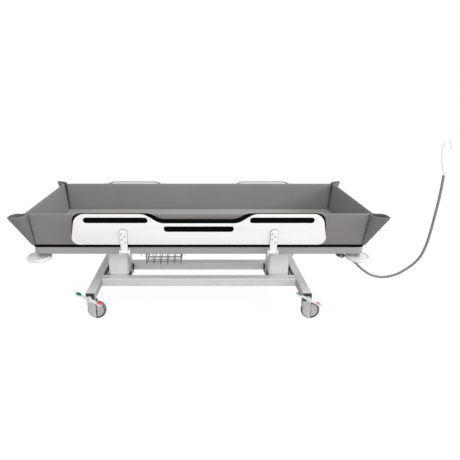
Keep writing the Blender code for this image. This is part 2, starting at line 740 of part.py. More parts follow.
def make_bed_ends():
    """Each end of the frame is one tube, bent round both corners."""
    for name, turn in (("bed_end_left", math.pi), ("bed_end_right", 0.0)):
        bm = bmesh.new()
        start = BED_LENGTH / 2 - BED_CORNER
        middle_y = -(BED_WIDTH - RAIL_WIDTH) / 2
        ring = [bm.verts.new((start, middle_y + y, x)) for x, y in rail_section()]
        run = [bm.edges.new((ring[i - 1], ring[i])) for i in range(len(ring))]
        corner_y = BED_WIDTH / 2 - BED_CORNER
        run = bend(bm, run, (start, -corner_y, 0.0))
        made = bmesh.ops.extrude_edge_only(bm, edges=run)["geom"]
        moved = [part for part in made if isinstance(part, bmesh.types.BMVert)]
        bmesh.ops.translate(bm, verts=moved, vec=(0.0, 2 * corner_y, 0.0))
        run = [part for part in made if isinstance(part, bmesh.types.BMEdge)
               and all(vert in moved for vert in part.verts)]
        bend(bm, run, (start, corner_y, 0.0))
        item = add_object(name, mesh_from(name, bm), "silver")
        item.location = (0.0, 0.0, BED_UNDERSIDE + RAIL_HEIGHT / 2)
        item.rotation_euler = (0.0, 0.0, turn)
        shell = item.modifiers.new("Wall", "SOLIDIFY")
        shell.thickness = RAIL_WALL
        shell.offset = -1.0
        shell.use_even_offset = True
        for end in (-1, 1):
            pin = turned(name + "_pin", bumper_pin_profile(), None, steps=10, ring=False)
            pin.location = (math.cos(turn) * BUMPER_X, end * BUMPER_Y, 0.0)
            combine(item, pin, "UNION")


def bend(bm, edges, centre, steps=5):
    """Sweep the open end of a tube a quarter turn about a vertical axis."""
    verts = list({vert for edge in edges for vert in edge.verts})
    made = bmesh.ops.spin(bm, geom=verts + edges, cent=centre, axis=(0.0, 0.0, 1.0),
                          angle=math.pi / 2, steps=steps)
    return [part for part in made["geom_last"] if isinstance(part, bmesh.types.BMEdge)]


def make_crossbars():
    length = BED_WIDTH - 2 * RAIL_WIDTH - 2 * GAP
    section = rounded_outline(rectangle(CROSSBAR_WIDTH, RAIL_HEIGHT, RAIL_EDGE), steps=1)
    for name, side in (("bed_crossbar_left", -1), ("bed_crossbar_right", 1)):
        bar = tube(name, section, length, RAIL_WALL, "silver")
        bar.rotation_euler = (-math.pi / 2, 0.0, 0.0)
        bar.location = (side * COLUMN_X, -length / 2, BED_UNDERSIDE + RAIL_HEIGHT / 2)


def drain_hole(steps=24):
    radius = DRAIN_BOWL_RADIUS + DRAIN_PLAY
    return [Vector((DRAIN_X + radius * math.cos(2 * math.pi * i / steps),
                    radius * math.sin(2 * math.pi * i / steps))) for i in range(steps)]


def make_platform():
    outline = rounded_outline(rectangle(PLATFORM_LENGTH, BED_WIDTH, BED_CORNER), steps=6)
    platform = flat_piece("platform", [outline, drain_hole()], PLATFORM_THICKNESS, "black")
    platform.location = (0.0, 0.0, PLATFORM_UNDERSIDE + PLATFORM_THICKNESS / 2)


# Tub liner

def tub_corner():
    """Outer half length and half width at the foot and at the rim of the tub."""
    foot = (PLATFORM_LENGTH / 2 - TUB_SETBACK, BED_WIDTH / 2)
    return foot, (foot[0] + TUB_END_FLARE, foot[1] + TUB_SIDE_FLARE)


def make_tub_sides():
    (foot_x, foot_y), (rim_x, rim_y) = tub_corner()
    for name, side in (("tub_side_front", -1), ("tub_side_rear", 1)):
        rings = []
        for z, x, y, short in ((TUB_BOTTOM, foot_x, foot_y, TUB_WALL),
                               (TUB_RIM, rim_x, rim_y, GUSSET)):
            low, high, half = side * (y - TUB_WALL), side * y, x - short - SOFT_GAP
            rings.append([(-half, low, z), (half, low, z), (half, high, z), (-half, high, z)])
        bm = bmesh.new()
        loft(bm, *rings)
        add_object(name, mesh_from(name, bm), "vinyl")


def half_end_ring(x, y, short, reach, leaf):
    """Plan of half an end wall and its folded corner, from the wall's middle outwards."""
    tip = Vector((x + reach, y + reach))
    side_end = Vector((x - short, y))
    end_end = Vector((x, y - short))
    spread = (side_end - tip).angle(end_end - tip) / 2
    depth = min(leaf / math.sin(spread), 0.8 * (tip - side_end).length)
    inner_tip = tip - Vector((1.0, 1.0)).normalized() * depth
    return [Vector((x - TUB_WALL, end_end.y)), Vector((x - leaf, end_end.y)), inner_tip,
            side_end - Vector((0.0, leaf)), side_end, tip, end_end]


def make_tub_ends():
    """Each end is one padded panel with a folded corner, an open pocket, at both sides."""
    (foot_x, foot_y), (rim_x, rim_y) = tub_corner()
    halves = ((TUB_BOTTOM, half_end_ring(foot_x, foot_y, TUB_WALL, EAR_ROOT, EAR_ROOT)),
              (TUB_RIM, half_end_ring(rim_x, rim_y, GUSSET, EAR_REACH, EAR_WALL)))
    for name, side in (("tub_end_left", -1), ("tub_end_right", 1)):
        rings = []
        for z, half in halves:
            around = [(x, y) for x, y in half] + [(x, -y) for x, y in reversed(half)]
            rings.append([(side * x, y, z) for x, y in around])
        bm = bmesh.new()
        loft(bm, *rings)
        add_object(name, mesh_from(name, bm), "vinyl")


def make_tub_base():
    (foot_x, foot_y), _ = tub_corner()
    length = 2 * (foot_x - TUB_WALL - SOFT_GAP)
    width = 2 * (foot_y - TUB_WALL - SOFT_GAP)
    outline = rounded_outline(rectangle(length, width))
    base = flat_piece("tub_base", [outline, drain_hole()], PAD_BASE_THICKNESS, "vinyl")
    base.location = (0.0, 0.0, TUB_BOTTOM + PAD_BASE_THICKNESS / 2)


# Side rails

def mirrored(corners):
    return corners + [(-x, y, r) for x, y, r in reversed(corners)]


def board_outline():
    top = BOARD_LIFT + BOARD_HEIGHT
    corners = [(BOARD_HALF_BOTTOM, BOARD_LIFT, BOARD_BOTTOM_CORNER),
               (BOARD_HALF_TOP, top, BOARD_TOP_CORNER),
               (BOARD_DIP_OUTER, top, BOARD_SWEEP),
               (BOARD_DIP_INNER, top - BOARD_DIP, BOARD_SWEEP)]
    return rounded_outline(mirrored(corners), steps=4)


def backing_outline():
    top = BOARD_LIFT + BOARD_HEIGHT + BACKING_RISE
    dip = BOARD_LIFT + BOARD_HEIGHT - BOARD_DIP + BACKING_DIP_RISE
    corners = [(BOARD_HALF_BOTTOM, BOARD_LIFT, BOARD_BOTTOM_CORNER),
               (BOARD_HALF_TOP + BACKING_END, top, BACKING_CORNER),
               (BOARD_DIP_OUTER - BACKING_SWEEP_IN, top, BOARD_SWEEP),
               (BOARD_DIP_INNER + BACKING_DIP_RISE + BACKING_RISE - BACKING_SWEEP_IN, dip,
                BOARD_SWEEP)]
    return rounded_outline(mirrored(corners), steps=5)


def slot_outlines():
    """Two upper grip slots and the middle one below the dip."""
    high = BOARD_LIFT + BOARD_HEIGHT - SLOT_INSET
    low = high - SLOT_HEIGHT
    end = SLOT_HEIGHT / 2
    upper = [(SLOT_OUTER, low, end), (SLOT_OUTER, high, end),
             (SLOT_INNER + SLOT_SLANT, high, end), (SLOT_INNER, low, end)]
    outlines = [rounded_outline(upper, steps=3),
                rounded_outline([(-x, y, r) for x, y, r in reversed(upper)], steps=3)]
    high = BOARD_LIFT + BOARD_HEIGHT - BOARD_DIP - MIDDLE_SLOT_INSET
    low = high - MIDDLE_SLOT_HEIGHT
    middle = [(MIDDLE_SLOT_HALF, low, MIDDLE_SLOT_FOOT_CORNER),
              (MIDDLE_SLOT_HALF, high, MIDDLE_SLOT_TOP_CORNER)]
    outlines.append(rounded_outline(mirrored(middle), steps=3))
    return outlines


def make_arm(name, x, pivot):
    """A hinge arm on the face of the board, with a knuckle round its hinge pin."""
    half_low, half_high = ARM_BOTTOM_WIDTH / 2, ARM_TOP_WIDTH / 2
    top = BOARD_LIFT + ARM_ABOVE_BOARD
    outline = rounded_outline([(-half_low, -ARM_TAIL, ARM_TAIL_CORNER),
                               (half_low, -ARM_TAIL, ARM_TAIL_CORNER),
                               (half_high, top, half_high * 0.96),
                               (-half_high, top, half_high * 0.96)], steps=4)
    arm = flat_piece(name, [outline], ARM_THICKNESS, "white", pivot)
    for vert in arm.data.vertices:
        vert.co.z += GAP + ARM_THICKNESS / 2
    arm.location = (x, 0.0, 0.0)
    knuckle = (("knuckle", KNUCKLE_RADIUS, ARM_BOTTOM_WIDTH + 4 * GAP, "UNION"),
               ("bore", HINGE_PIN_RADIUS + GAP, 2 * ARM_BOTTOM_WIDTH, "DIFFERENCE"))
    for word, radius, width, operation in knuckle:
        drum = cylinder(name + "_" + word, radius, width, None, pivot, sides=14)
        drum.rotation_euler = (0.0, math.pi / 2, 0.0)
        drum.location = (x, 0.0, 0.0)
        combine(arm, drum, operation)


def make_side_rail(word, side):
    """White board, black backing and hinge arms, built flat and leaned on the hinge axis."""
    turn = 0.0 if side < 0 else math.pi
    pivot = add_empty("side_rail_" + word, (0.0, side * RAIL_PIVOT_Y, RAIL_PIVOT_Z),
                      (math.pi / 2 + RAIL_LEAN, 0.0, turn))
    board = flat_piece("rail_board_" + word, [board_outline()] + slot_outlines(),
                       BOARD_THICKNESS, "white", pivot)
    board.location = (0.0, 0.0, -BOARD_THICKNESS / 2)
    backing = flat_piece("rail_backing_" + word, [backing_outline()], BACKING_THICKNESS,
                         "black", pivot)
    backing.location = (0.0, 0.0, -BOARD_THICKNESS - GAP - BACKING_THICKNESS / 2)
    for hand, along in (("left", -1), ("right", 1)):
        local_side = along if side < 0 else -along
        make_arm("rail_arm_" + word + "_" + hand, local_side * ARM_X, pivot)


def lug_outline():
    """Side view of a hinge lug about the pin: from the rail's face round the pin's nose."""
    face = RAIL_PIVOT_OUT - GAP - LUG_PLATE / 2
    low = -(RAIL_PIVOT_HEIGHT + LUG_DROP)
    return rounded_outline([(face, RAIL_HEIGHT - RAIL_PIVOT_HEIGHT - LUG_TOP_INSET, 0.0),
                            (face, low, LUG_FOOT_CORNER),
                            (face - LUG_FOOT_WIDTH, low, LUG_FOOT_CORNER),
                            (-LUG_NOSE, -LUG_NOSE, LUG_NOSE * 0.95),
                            (-LUG_NOSE, LUG_NOSE, LUG_NOSE * 0.95)], steps=2)


def make_brackets():
    """Four hinge brackets on the side rails' faces: a plate, two lugs and the hinge pin."""
    lug_x = ARM_BOTTOM_WIDTH / 2 + HINGE_PLAY + LUG_THICKNESS / 2
    width = 2 * lug_x + LUG_THICKNESS
    plate_height = RAIL_HEIGHT - 2 * LUG_PLATE_INSET
    for word, end in (("front", -1), ("rear", 1)):
        for hand, side in (("left", -1), ("right", 1)):
            name = "hinge_bracket_" + word + "_" + hand
            plate = box(name, (width, LUG_PLATE, plate_height), "white")
            plate.location = (side * ARM_X, end * (BED_WIDTH / 2 + GAP + LUG_PLATE / 2),
                              BED_UNDERSIDE + RAIL_HEIGHT / 2)
            for offset in (-lug_x, lug_x):
                lug = flat_piece(name + "_lug", [lug_outline()], LUG_THICKNESS, None)
                for vert in lug.data.vertices:
                    y, z, along = vert.co
                    vert.co = (along, -end * y, z)
                fix_normals(lug)
                lug.location = (side * ARM_X + offset, end * RAIL_PIVOT_Y, RAIL_PIVOT_Z)
                combine(plate, lug, "UNION")
            pin = cylinder(name + "_pin", HINGE_PIN_RADIUS, width + 2 * PIN_STAND_OUT, sides=10)
            pin.rotation_euler = (0.0, math.pi / 2, 0.0)
            pin.location = (side * ARM_X, end * RAIL_PIVOT_Y, RAIL_PIVOT_Z)
            combine(plate, pin, "UNION")


# Bumper rollers

def make_bumpers():
    top, bottom = BUMPER_TOP, BUMPER_TOP - BUMPER_THICKNESS
    rim = BUMPER_RADIUS - BUMPER_RIM
    bore = BUMPER_PIN_RADIUS + GAP
    recess = top - BUMPER_RECESS
    profile = [(bore, recess), (rim, recess), (rim + BUMPER_RECESS / 2, top),
               (BUMPER_RADIUS, top - BUMPER_SHOULDER), (BUMPER_RADIUS, bottom + BUMPER_SHOULDER),
               (BUMPER_RADIUS - BUMPER_SHOULDER, bottom), (bore, bottom)]
    for tag, side, end in (("front_left", -1, -1), ("front_right", 1, -1),
                           ("rear_left", -1, 1), ("rear_right", 1, 1)):
        roller = turned("bumper_" + tag, profile, "white", steps=20)
        roller.location = (side * BUMPER_X, end * BUMPER_Y, 0.0)


def bumper_pin_profile():
    """Pin welded under the bed end: collar, shank through the roller, and head."""
    pin_top = BED_UNDERSIDE + RAIL_WALL / 2
    collar_bottom = BUMPER_TOP - BUMPER_RECESS + GAP
    head_top = BUMPER_TOP - BUMPER_THICKNESS - GAP
    head_bottom = head_top - BUMPER_HEAD
    return [(0.0, pin_top), (BUMPER_COLLAR_RADIUS, pin_top),
            (BUMPER_COLLAR_RADIUS, collar_bottom), (BUMPER_PIN_RADIUS, collar_bottom),
            (BUMPER_PIN_RADIUS, head_top), (BUMPER_COLLAR_RADIUS, head_top),
            (BUMPER_COLLAR_RADIUS - BUMPER_HEAD_TAPER, head_bottom), (0.0, head_bottom)]


# Basket

def make_basket():
    """Crossing U-shaped wires in two layers, hung from one rim wire."""
    floor = BASKET_RIM_Z - BASKET_DEPTH
    back = BASKET_FRONT + BASKET_WIDTH
    left = BASKET_CENTRE_X - BASKET_FLOOR_LENGTH / 2
    rim_left = BASKET_CENTRE_X - BASKET_RIM_LENGTH / 2
    rim_right = BASKET_CENTRE_X + BASKET_RIM_LENGTH / 2
    top = BASKET_RIM_Z
    layer = 2 * BASKET_WIRE - BASKET_WELD
    reach = BASKET_RIM_WIRE + BASKET_WIRE - BASKET_WELD
    long_wires, cross_wires = [], []
    for i in range(BASKET_LONG_WIRES):
        x = left + BASKET_FLOOR_LENGTH * i / (BASKET_LONG_WIRES - 1)
        long_wires.append(rounded_path([(x, BASKET_FRONT + reach, top),
                                        (x, BASKET_FRONT + BASKET_TAPER, floor),
                                        (x, back - BASKET_TAPER, floor),
                                        (x, back - reach, top)], BASKET_WIRE_BEND, 1))
    first = BASKET_FRONT + BASKET_TAPER + BASKET_FIRST_CROSS
    pitch = (BASKET_WIDTH - 2 * (first - BASKET_FRONT)) / (BASKET_CROSS_WIRES - 1)
    for j in range(BASKET_CROSS_WIRES):
        y = first + pitch * j
        cross_wires.append(rounded_path([(rim_left + reach, y, top),
                                         (left + layer, y, floor + layer),
                                         (left + BASKET_FLOOR_LENGTH - layer, y, floor + layer),
                                         (rim_right - reach, y, top)], BASKET_WIRE_BEND, 1))
    basket = solid_from_curve("basket", wire_curve("basket", long_wires, BASKET_WIRE, 0), "steel")
    corner = BASKET_RIM_CORNER
    rim_corners = rounded_outline([(rim_left, BASKET_FRONT, corner),
                                   (rim_right, BASKET_FRONT, corner),
                                   (rim_right, back, corner), (rim_left, back, corner)], steps=2)
    rim = wire_curve("basket_rim", [[(x, y, top) for x, y in rim_corners]], BASKET_RIM_WIRE,
                     resolution=0, closed=True)
    across = wire_curve("basket_across", cross_wires, BASKET_WIRE, 0)
    for curve in (rim, across):
        combine(basket, solid_from_curve("basket_part", curve, None), "UNION")


def make_hangers():
    """Two angle irons across the frame; the basket's rim hangs under their flat leaves."""
    length = BED_WIDTH - 2 * HANGER_END_INSET
    top = BED_UNDERSIDE - GAP
    for name, side in (("basket_hanger_left", -1), ("basket_hanger_right", 1)):
        outer = BASKET_CENTRE_X + side * (BASKET_RIM_LENGTH / 2 + BASKET_RIM_WIRE + GAP
                                          + HANGER_LEAF)
        outline = [(outer, top), (outer, top - HANGER_DROP),
                   (outer - side * HANGER_LEAF, top - HANGER_DROP),
                   (outer - side * HANGER_LEAF, top - HANGER_LEAF),
                   (outer - side * HANGER_WIDTH, top - HANGER_LEAF),
                   (outer - side * HANGER_WIDTH, top)]
        hanger = flat_piece(name, [outline], length, "silver")
        hanger.rotation_euler = (math.pi / 2, 0.0, 0.0)


# Drain

def make_drain():
    flange_bottom = TUB_FLOOR + GAP
    flange_top = flange_bottom + DRAIN_FLANGE
    bottom = TUB_FLOOR - DRAIN_BOWL_DEPTH - DRAIN_BOWL_FLOOR
    floor = TUB_FLOOR - DRAIN_BOWL_DEPTH
    inner = DRAIN_BOWL_RADIUS - DRAIN_BOWL_WALL
    profile = [(0.0, floor), (inner, floor), (inner + DRAIN_BOWL_TAPER, flange_top),
               (DRAIN_FLANGE_RADIUS, flange_top), (DRAIN_FLANGE_RADIUS, flange_bottom),
               (DRAIN_BOWL_RADIUS, flange_bottom), (DRAIN_BOWL_RADIUS, bottom), (0.0, bottom)]
    outlet = turned("drain_outlet", profile, "black", steps=16, ring=False)
    outlet.location = (DRAIN_X, 0.0, 0.0)
    out_x, out_y, out_z = DRAIN_OUTLET
    height = floor - DRAIN_BOWL_WALL - DRAIN_PIPE_RADIUS
    route = rounded_path([(DRAIN_X, -DRAIN_PIPE_START, height), (DRAIN_X, out_y, height),
                          (DRAIN_X, out_y, out_z), (out_x, out_y, out_z)], DRAIN_PIPE_BEND, 3)
    pipe = solid_from_curve("drain_pipe", wire_curve("drain_pipe", [route], DRAIN_PIPE_RADIUS, 2),
                            None)
    combine(outlet, pipe, "UNION")
    coupling = cylinder("drain_coupling", COUPLING_RADIUS, COUPLING_LENGTH, sides=12)
    coupling.rotation_euler = (0.0, math.pi / 2, 0.0)
    coupling.location = (out_x - COUPLING_LENGTH / 2 - COUPLING_SETBACK, out_y, out_z)
    combine(outlet, coupling, "UNION")


def smooth_route(points, spacing):
    """Evenly spaced points on a smooth curve through the route's own points."""
    dense = []
    for i in range(len(points) - 1):
        p0 = Vector(points[max(i - 1, 0)])
        p1, p2 = Vector(points[i]), Vector(points[i + 1])
        p3 = Vector(points[min(i + 2, len(points) - 1)])
        for step in range(12):
            t = step / 12
            dense.append(0.5 * (2 * p1 + (p2 - p0) * t + (2 * p0 - 5 * p1 + 4 * p2 - p3) * t * t
                                + (3 * p1 - p0 - 3 * p2 + p3) * t ** 3))
    dense.append(Vector(points[-1]))
    total = sum((b - a).length for a, b in zip(dense, dense[1:]))
    count = max(2, round(total / spacing))
    route = [dense[0]]
    walked, target = 0.0, total / count
    for a, b in zip(dense, dense[1:]):
        length = (b - a).length
        while walked + length >= target and len(route) < count:
            route.append(a + (b - a) * ((target - walked) / length))
            target += total / count
        walked += length
    route.append(dense[-1])
    return route


def make_hose():
    y = DRAIN_OUTLET[1]
    for name, route, radius, spacing, resolution, colour in (
            ("drain_hose", HOSE_ROUTE, HOSE_RADIUS, 6, 2, "hose_grey"),
            ("hose_hook", HOOK_ROUTE, HOOK_RADIUS, 3, 3, "white")):
        places = [(x, y, z) for x, z in route]
        points = [places[0]] + smooth_route(places[1:], spacing * radius)
        solid_from_curve(name, wire_curve(name, [points], radius, resolution), colour)


def build():
    make_beams()
    make_legs()
    make_column_feet()
    make_columns()
    for tag, side, end in (("front_left", -1, -1), ("front_right", 1, -1),
                           ("rear_left", -1, 1), ("rear_right", 1, 1)):
        make_castor(tag, side, end)
    make_brake("left", -1)
    make_brake("right", 1)
    make_side_rails()
    make_bed_ends()
    make_crossbars()
    make_platform()
    make_tub_base()
    make_tub_sides()
    make_tub_ends()
    make_side_rail("front", -1)
    make_side_rail("rear", 1)
    make_brackets()
    make_bumpers()
    make_basket()
    make_hangers()
    make_drain()
    make_hose()


build()
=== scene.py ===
import math

import bmesh
import bpy
from mathutils import Matrix, Vector


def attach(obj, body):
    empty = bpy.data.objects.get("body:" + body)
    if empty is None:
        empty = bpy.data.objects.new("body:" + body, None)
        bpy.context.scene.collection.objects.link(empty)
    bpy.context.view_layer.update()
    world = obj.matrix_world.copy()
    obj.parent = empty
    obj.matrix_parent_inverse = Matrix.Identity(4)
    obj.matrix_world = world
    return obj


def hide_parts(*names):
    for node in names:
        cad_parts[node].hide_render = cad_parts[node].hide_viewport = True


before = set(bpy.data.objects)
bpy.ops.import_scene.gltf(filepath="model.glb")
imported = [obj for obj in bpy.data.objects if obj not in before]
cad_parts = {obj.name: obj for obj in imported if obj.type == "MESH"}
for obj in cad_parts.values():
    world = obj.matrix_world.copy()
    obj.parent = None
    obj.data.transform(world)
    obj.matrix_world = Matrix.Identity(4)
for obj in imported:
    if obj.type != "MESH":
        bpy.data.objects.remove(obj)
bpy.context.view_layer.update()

SIDES = (("left", -1), ("right", 1))
ENDS = (("front", -1), ("rear", 1))
CORNERS = [(word + "_" + hand, sx, sy) for word, sy in ENDS for hand, sx in SIDES]


def add_object(name, data):
    item = bpy.data.objects.new(name, data)
    bpy.context.scene.collection.objects.link(item)
    return item


# Camera, worked out from the photograph

def make_camera():
    data = bpy.data.cameras.new("camera")
    data.lens = 31.0
    data.sensor_width = 36.0
    data.shift_x = 0.068
    data.shift_y = -0.0845
    camera = add_object("camera", data)
    degrees_down = 15.48
    camera.location = (0.0, -2.70, 1.548)
    camera.rotation_euler = (math.radians(90.0 - degrees_down), 0.0, 0.0)
    bpy.context.scene.camera = camera


# Materials

BLACK = (0.0016, 0.0016, 0.0017)
VINYL = (0.178, 0.174, 0.168)
NOISE_SPAN = (0.3, 0.7)                   # most values of a noise texture lie in here
CAP_START = 0.3570                        # further out along a leg is its black end cap
STRIP_X, STRIP_REACH = 0.6893, 0.0982     # a leg's black cover strip is further in than both
M = {}


class Nodes:
    """Short names for adding and joining shader nodes."""

    def __init__(self, name):
        self.material = bpy.data.materials.new(name)
        self.material.use_nodes = True
        self.tree = self.material.node_tree
        self.shader = self.tree.nodes["Principled BSDF"]
        self.place = self.add("ShaderNodeTexCoord").outputs["Object"]

    def add(self, kind, **values):
        node = self.tree.nodes.new(kind)
        for key, value in values.items():
            if hasattr(node, key):
                setattr(node, key, value)
            else:
                self.set(node, key.replace("_", " "), value)
        return node

    def set(self, node, key, value):
        socket = node.inputs[int(key)] if key.isdigit() else node.inputs[key]
        if isinstance(value, bpy.types.NodeSocket):
            self.tree.links.new(value, socket)
        else:
            socket.default_value = value

    def noise(self, scale, detail=3.0, rough=0.5):
        node = self.add("ShaderNodeTexNoise", Vector=self.place, Scale=scale, Detail=detail,
                        Roughness=rough)
        return node.outputs["Fac"]

    def spread(self, value, low, high, span=NOISE_SPAN):
        """From low to high as the value goes through the span."""
        node = self.add("ShaderNodeMapRange", Value=value)
        for key, number in zip(("From Min", "From Max", "To Min", "To Max"), (*span, low, high)):
            self.set(node, key, number)
        return node.outputs[0]

    def ramp(self, value, low, high):
        """From one colour to another as the value goes through the span of a noise."""
        node = self.add("ShaderNodeValToRGB", Fac=value)
        for element, place, colour in zip(node.color_ramp.elements, NOISE_SPAN, (low, high)):
            element.position = place
            element.color = (*colour, 1.0)
        return node.outputs[0]

    def mix(self, factor, first, second):
        node = self.add("ShaderNodeMix", data_type="RGBA")
        self.set(node, "0", factor)
        self.set(node, "6", first)
        self.set(node, "7", second)
        return node.outputs[2]

    def math(self, operation, first, second=0.0):
        node = self.add("ShaderNodeMath", operation=operation)
        self.set(node, "0", first)
        self.set(node, "1", second)
        return node.outputs[0]

    def bump(self, height, strength, distance, under=None):
        node = self.add("ShaderNodeBump", Height=height, Strength=strength, Distance=distance)
        if under is not None:
            self.set(node, "Normal", under)
        return node.outputs[0]

    def surface(self, **values):
        """Set the shader's inputs by name, with _ for a space."""
        for key, value in values.items():
            self.set(self.shader, key.replace("_", " "), value)

    def tint(self, share, colour):
        """Lay another colour over the base colour, where the share is 1."""
        base = self.shader.inputs["Base Color"].links[0].from_socket
        self.surface(Base_Color=self.mix(share, base, (*colour, 1.0)))

    def both(self, first, second):
        return self.math("MULTIPLY", first, second)

    def distance(self, axis):
        """How far a point is from the origin along an axis."""
        split = self.add("ShaderNodeSeparateXYZ", Vector=self.place)
        return self.math("ABSOLUTE", split.outputs[axis])


def shade(colour, factor):
    return tuple(min(1.0, value * factor) for value in colour)


def grey(value):
    """Linear colour of an sRGB grey from 0 to 255."""
    level = value / 255.0
    level = level / 12.92 if level <= 0.04045 else ((level + 0.055) / 1.055) ** 2.4
    return (level, level, level)


def plain(name, colour, roughness, metallic=0.0, spread=0.04, mottle=9.0, grain=1400.0,
          depth=0.00004, gloss=0.5, edge=0.0012, coat=0.0):
    """Coated metal or moulded plastic: slow colour drift, fine grain and soft edges."""
    n = Nodes(name)
    drift = n.noise(mottle, 4.0, 0.6)
    wear = n.noise(mottle * 7.0, 5.0, 0.65)
    soft = n.add("ShaderNodeBevel", samples=4, Radius=edge).outputs[0] if edge else None
    n.surface(Base_Color=n.ramp(drift, shade(colour, 1.0 - spread), shade(colour, 1.0 + spread)),
              Roughness=n.spread(wear, roughness - 0.05, roughness + 0.07),
              Metallic=metallic, Specular_IOR_Level=gloss, Coat_Weight=coat, Coat_Roughness=0.2,
              Normal=n.bump(n.noise(grain, 2.0, 0.6), 0.35, depth, soft))
    return n


def vinyl_material(name, colour):
    """Coated cloth over foam: pebbled grain, slow waves and a faint sheen."""
    n = Nodes(name)
    tone = n.ramp(n.noise(3.0, 5.0, 0.6), shade(colour, 0.93), shade(colour, 1.06))
    stain = n.spread(n.noise(42.0, 5.0, 0.7), 0.0, 0.35)
    cells = n.add("ShaderNodeTexVoronoi", Vector=n.place, Scale=620.0)
    waves = n.bump(n.noise(11.0, 2.0), 0.25, 0.004)
    pebble = n.bump(cells.outputs["Distance"], 0.28, 0.00035, waves)
    n.surface(Base_Color=n.mix(stain, tone, (*shade(colour, 0.9), 1.0)),
              Roughness=n.spread(n.noise(60.0, 4.0), 0.42, 0.55),
              Specular_IOR_Level=0.42, Sheen_Weight=0.08,
              Normal=n.bump(n.noise(1800.0), 0.2, 0.0001, pebble))
    return n


def wire_material(name, colour):
    """Bright drawn wire."""
    return plain(name, colour, 0.32, metallic=0.55, spread=0.08, mottle=60.0, grain=2400.0,
                 depth=0.00003, edge=0.0)


def painted_top_light(name, colour, top):
    """A coating with painted top light: a lighter colour on the faces that look up, as in the
    photograph, in place of light from above.
    """
    n = plain(name, colour, 0.42)
    normal = n.add("ShaderNodeNewGeometry").outputs["Normal"]
    up = n.add("ShaderNodeSeparateXYZ", Vector=normal).outputs["Z"]
    # painted light: faces get the lighter top colour as they turn to look up
    n.tint(n.spread(up, 0.0, 1.0, (0.3, 0.95)), top)
    return n


def leg_material():
    """Coated leg with a painted lighter top for light from above, a black end cap at both ends
    and a black strip on its inner side.
    """
    n = painted_top_light("leg_coat_painted_top_light", grey(168), grey(220))
    n.surface(Specular_IOR_Level=0.15)
    across, along = n.distance("X"), n.distance("Y")
    n.tint(n.math("GREATER_THAN", along, CAP_START), grey(62))
    n.tint(n.both(n.math("LESS_THAN", across, STRIP_X),
                  n.math("LESS_THAN", along, STRIP_REACH)), BLACK)
    return n


def banded(name, colour, band, low, high, axis="Y", **finish):
    """A finish that changes colour between two distances from the origin along an axis."""
    n = plain(name, colour, 0.5, **finish)
    away = n.distance(axis)
    n.tint(n.both(n.math("GREATER_THAN", away, low), n.math("LESS_THAN", away, high)), band)
    return n


def make_materials():
    # base beams, crossbar and hanger: their lighter tops are painted light
    M["silver"] = painted_top_light("silver_coat_painted_top_light", grey(205), grey(244))
    M["rail"] = plain("rail_coat", grey(146), 0.40)
    M["pale"] = plain("pale_coat", grey(221), 0.40)
    M["leg"] = leg_material()
    M["white"] = plain("white_board", grey(226), 0.46, spread=0.012, mottle=3.0, grain=500.0,
                       depth=0.00006, gloss=0.22)
    M["arm"] = plain("white_casting", grey(228), 0.40, spread=0.03, mottle=24.0)
    # painted shade: the arm blades' side faces are darker grey for the shadow in the gap round
    # each blade
    M["arm_edge"] = plain("casting_edge_painted_shade", grey(128), 0.5, spread=0.05, mottle=30.0)
    M["disc"] = plain("white_roller", grey(214), 0.45, spread=0.02, mottle=14.0)
    M["black"] = plain("black_board", BLACK, 0.75, spread=0.15, mottle=12.0, gloss=0.04)
    M["foot"] = banded("column_foot", grey(226), BLACK, 0.030, 1.0, spread=0.04, mottle=20.0,
                       gloss=0.1)
    M["castor"] = plain("castor_shell", grey(176), 0.42, spread=0.04, mottle=30.0)
    # painted shade: mid grey for the backing's lip and for the screw sockets
    M["lip"] = plain("lip_painted_shade", grey(112), 0.5, spread=0.05, mottle=30.0)
    M["hub"] = plain("castor_disc", grey(168), 0.5, spread=0.06, mottle=60.0, grain=900.0)
    M["tyre"] = plain("tyre_tread", grey(108), 0.72, spread=0.10, mottle=50.0, grain=1100.0,
                      depth=0.00012, gloss=0.3, edge=0.0)
    # painted shade: dark grey on the hood's rear edge and on the tyre's ring next to the disc,
    # where the gaps are shaded
    M["wall"] = plain("castor_painted_shade", grey(66), 0.66, spread=0.10, mottle=50.0, grain=1100.0,
                      depth=0.00010, gloss=0.3, edge=0.0)
    M["vinyl"] = vinyl_material("tub_vinyl", VINYL)
    # painted light: the tub floor is a lighter copy of the wall vinyl, for light from above
    M["pad"] = vinyl_material("tub_floor_vinyl_painted_light", shade(VINYL, 1.85))
    # painted shade: the folded corners' outer faces are a darker copy of the wall vinyl
    M["fold"] = vinyl_material("pocket_painted_shade", shade(VINYL, 0.74))
    # painted shade: the pockets' inner faces are a much darker copy of the vinyl
    M["inside"] = vinyl_material("pocket_inside_painted_shade", shade(VINYL, 0.50))
    M["pedal"] = plain("pedal_enamel", grey(208), 0.34, spread=0.03, mottle=40.0, coat=0.2)
    M["green"] = plain("green_pad", (0.006, 0.155, 0.045), 0.38, spread=0.12, mottle=60.0)
    M["red"] = plain("red_pad", (0.80, 0.075, 0.075), 0.38, spread=0.08, mottle=60.0)
    M["steel"] = wire_material("screw_steel", (0.30, 0.30, 0.31))
    M["screw"] = plain("screw_head", grey(168), 0.42, spread=0.05, mottle=90.0, edge=0.0)
    M["wire"] = wire_material("basket_wire", (0.20, 0.20, 0.202))
    M["rib"] = plain("hose_rib", grey(122), 0.5, spread=0.08, mottle=80.0, edge=0.0)
    # painted shade: the hose's grooves are darker than its ribs
    M["groove"] = plain("hose_groove_painted_shade", grey(58), 0.6, spread=0.1, mottle=80.0, edge=0.0)
    M["hook"] = plain("hook_plastic", grey(226), 0.36, spread=0.03, mottle=40.0, edge=0.002)
    M["coupling"] = banded("coupling_plastic", (0.02, 0.02, 0.021), grey(150), 0.9385, 0.9518,
                           axis="X", spread=0.15, mottle=50.0)


# Shapes

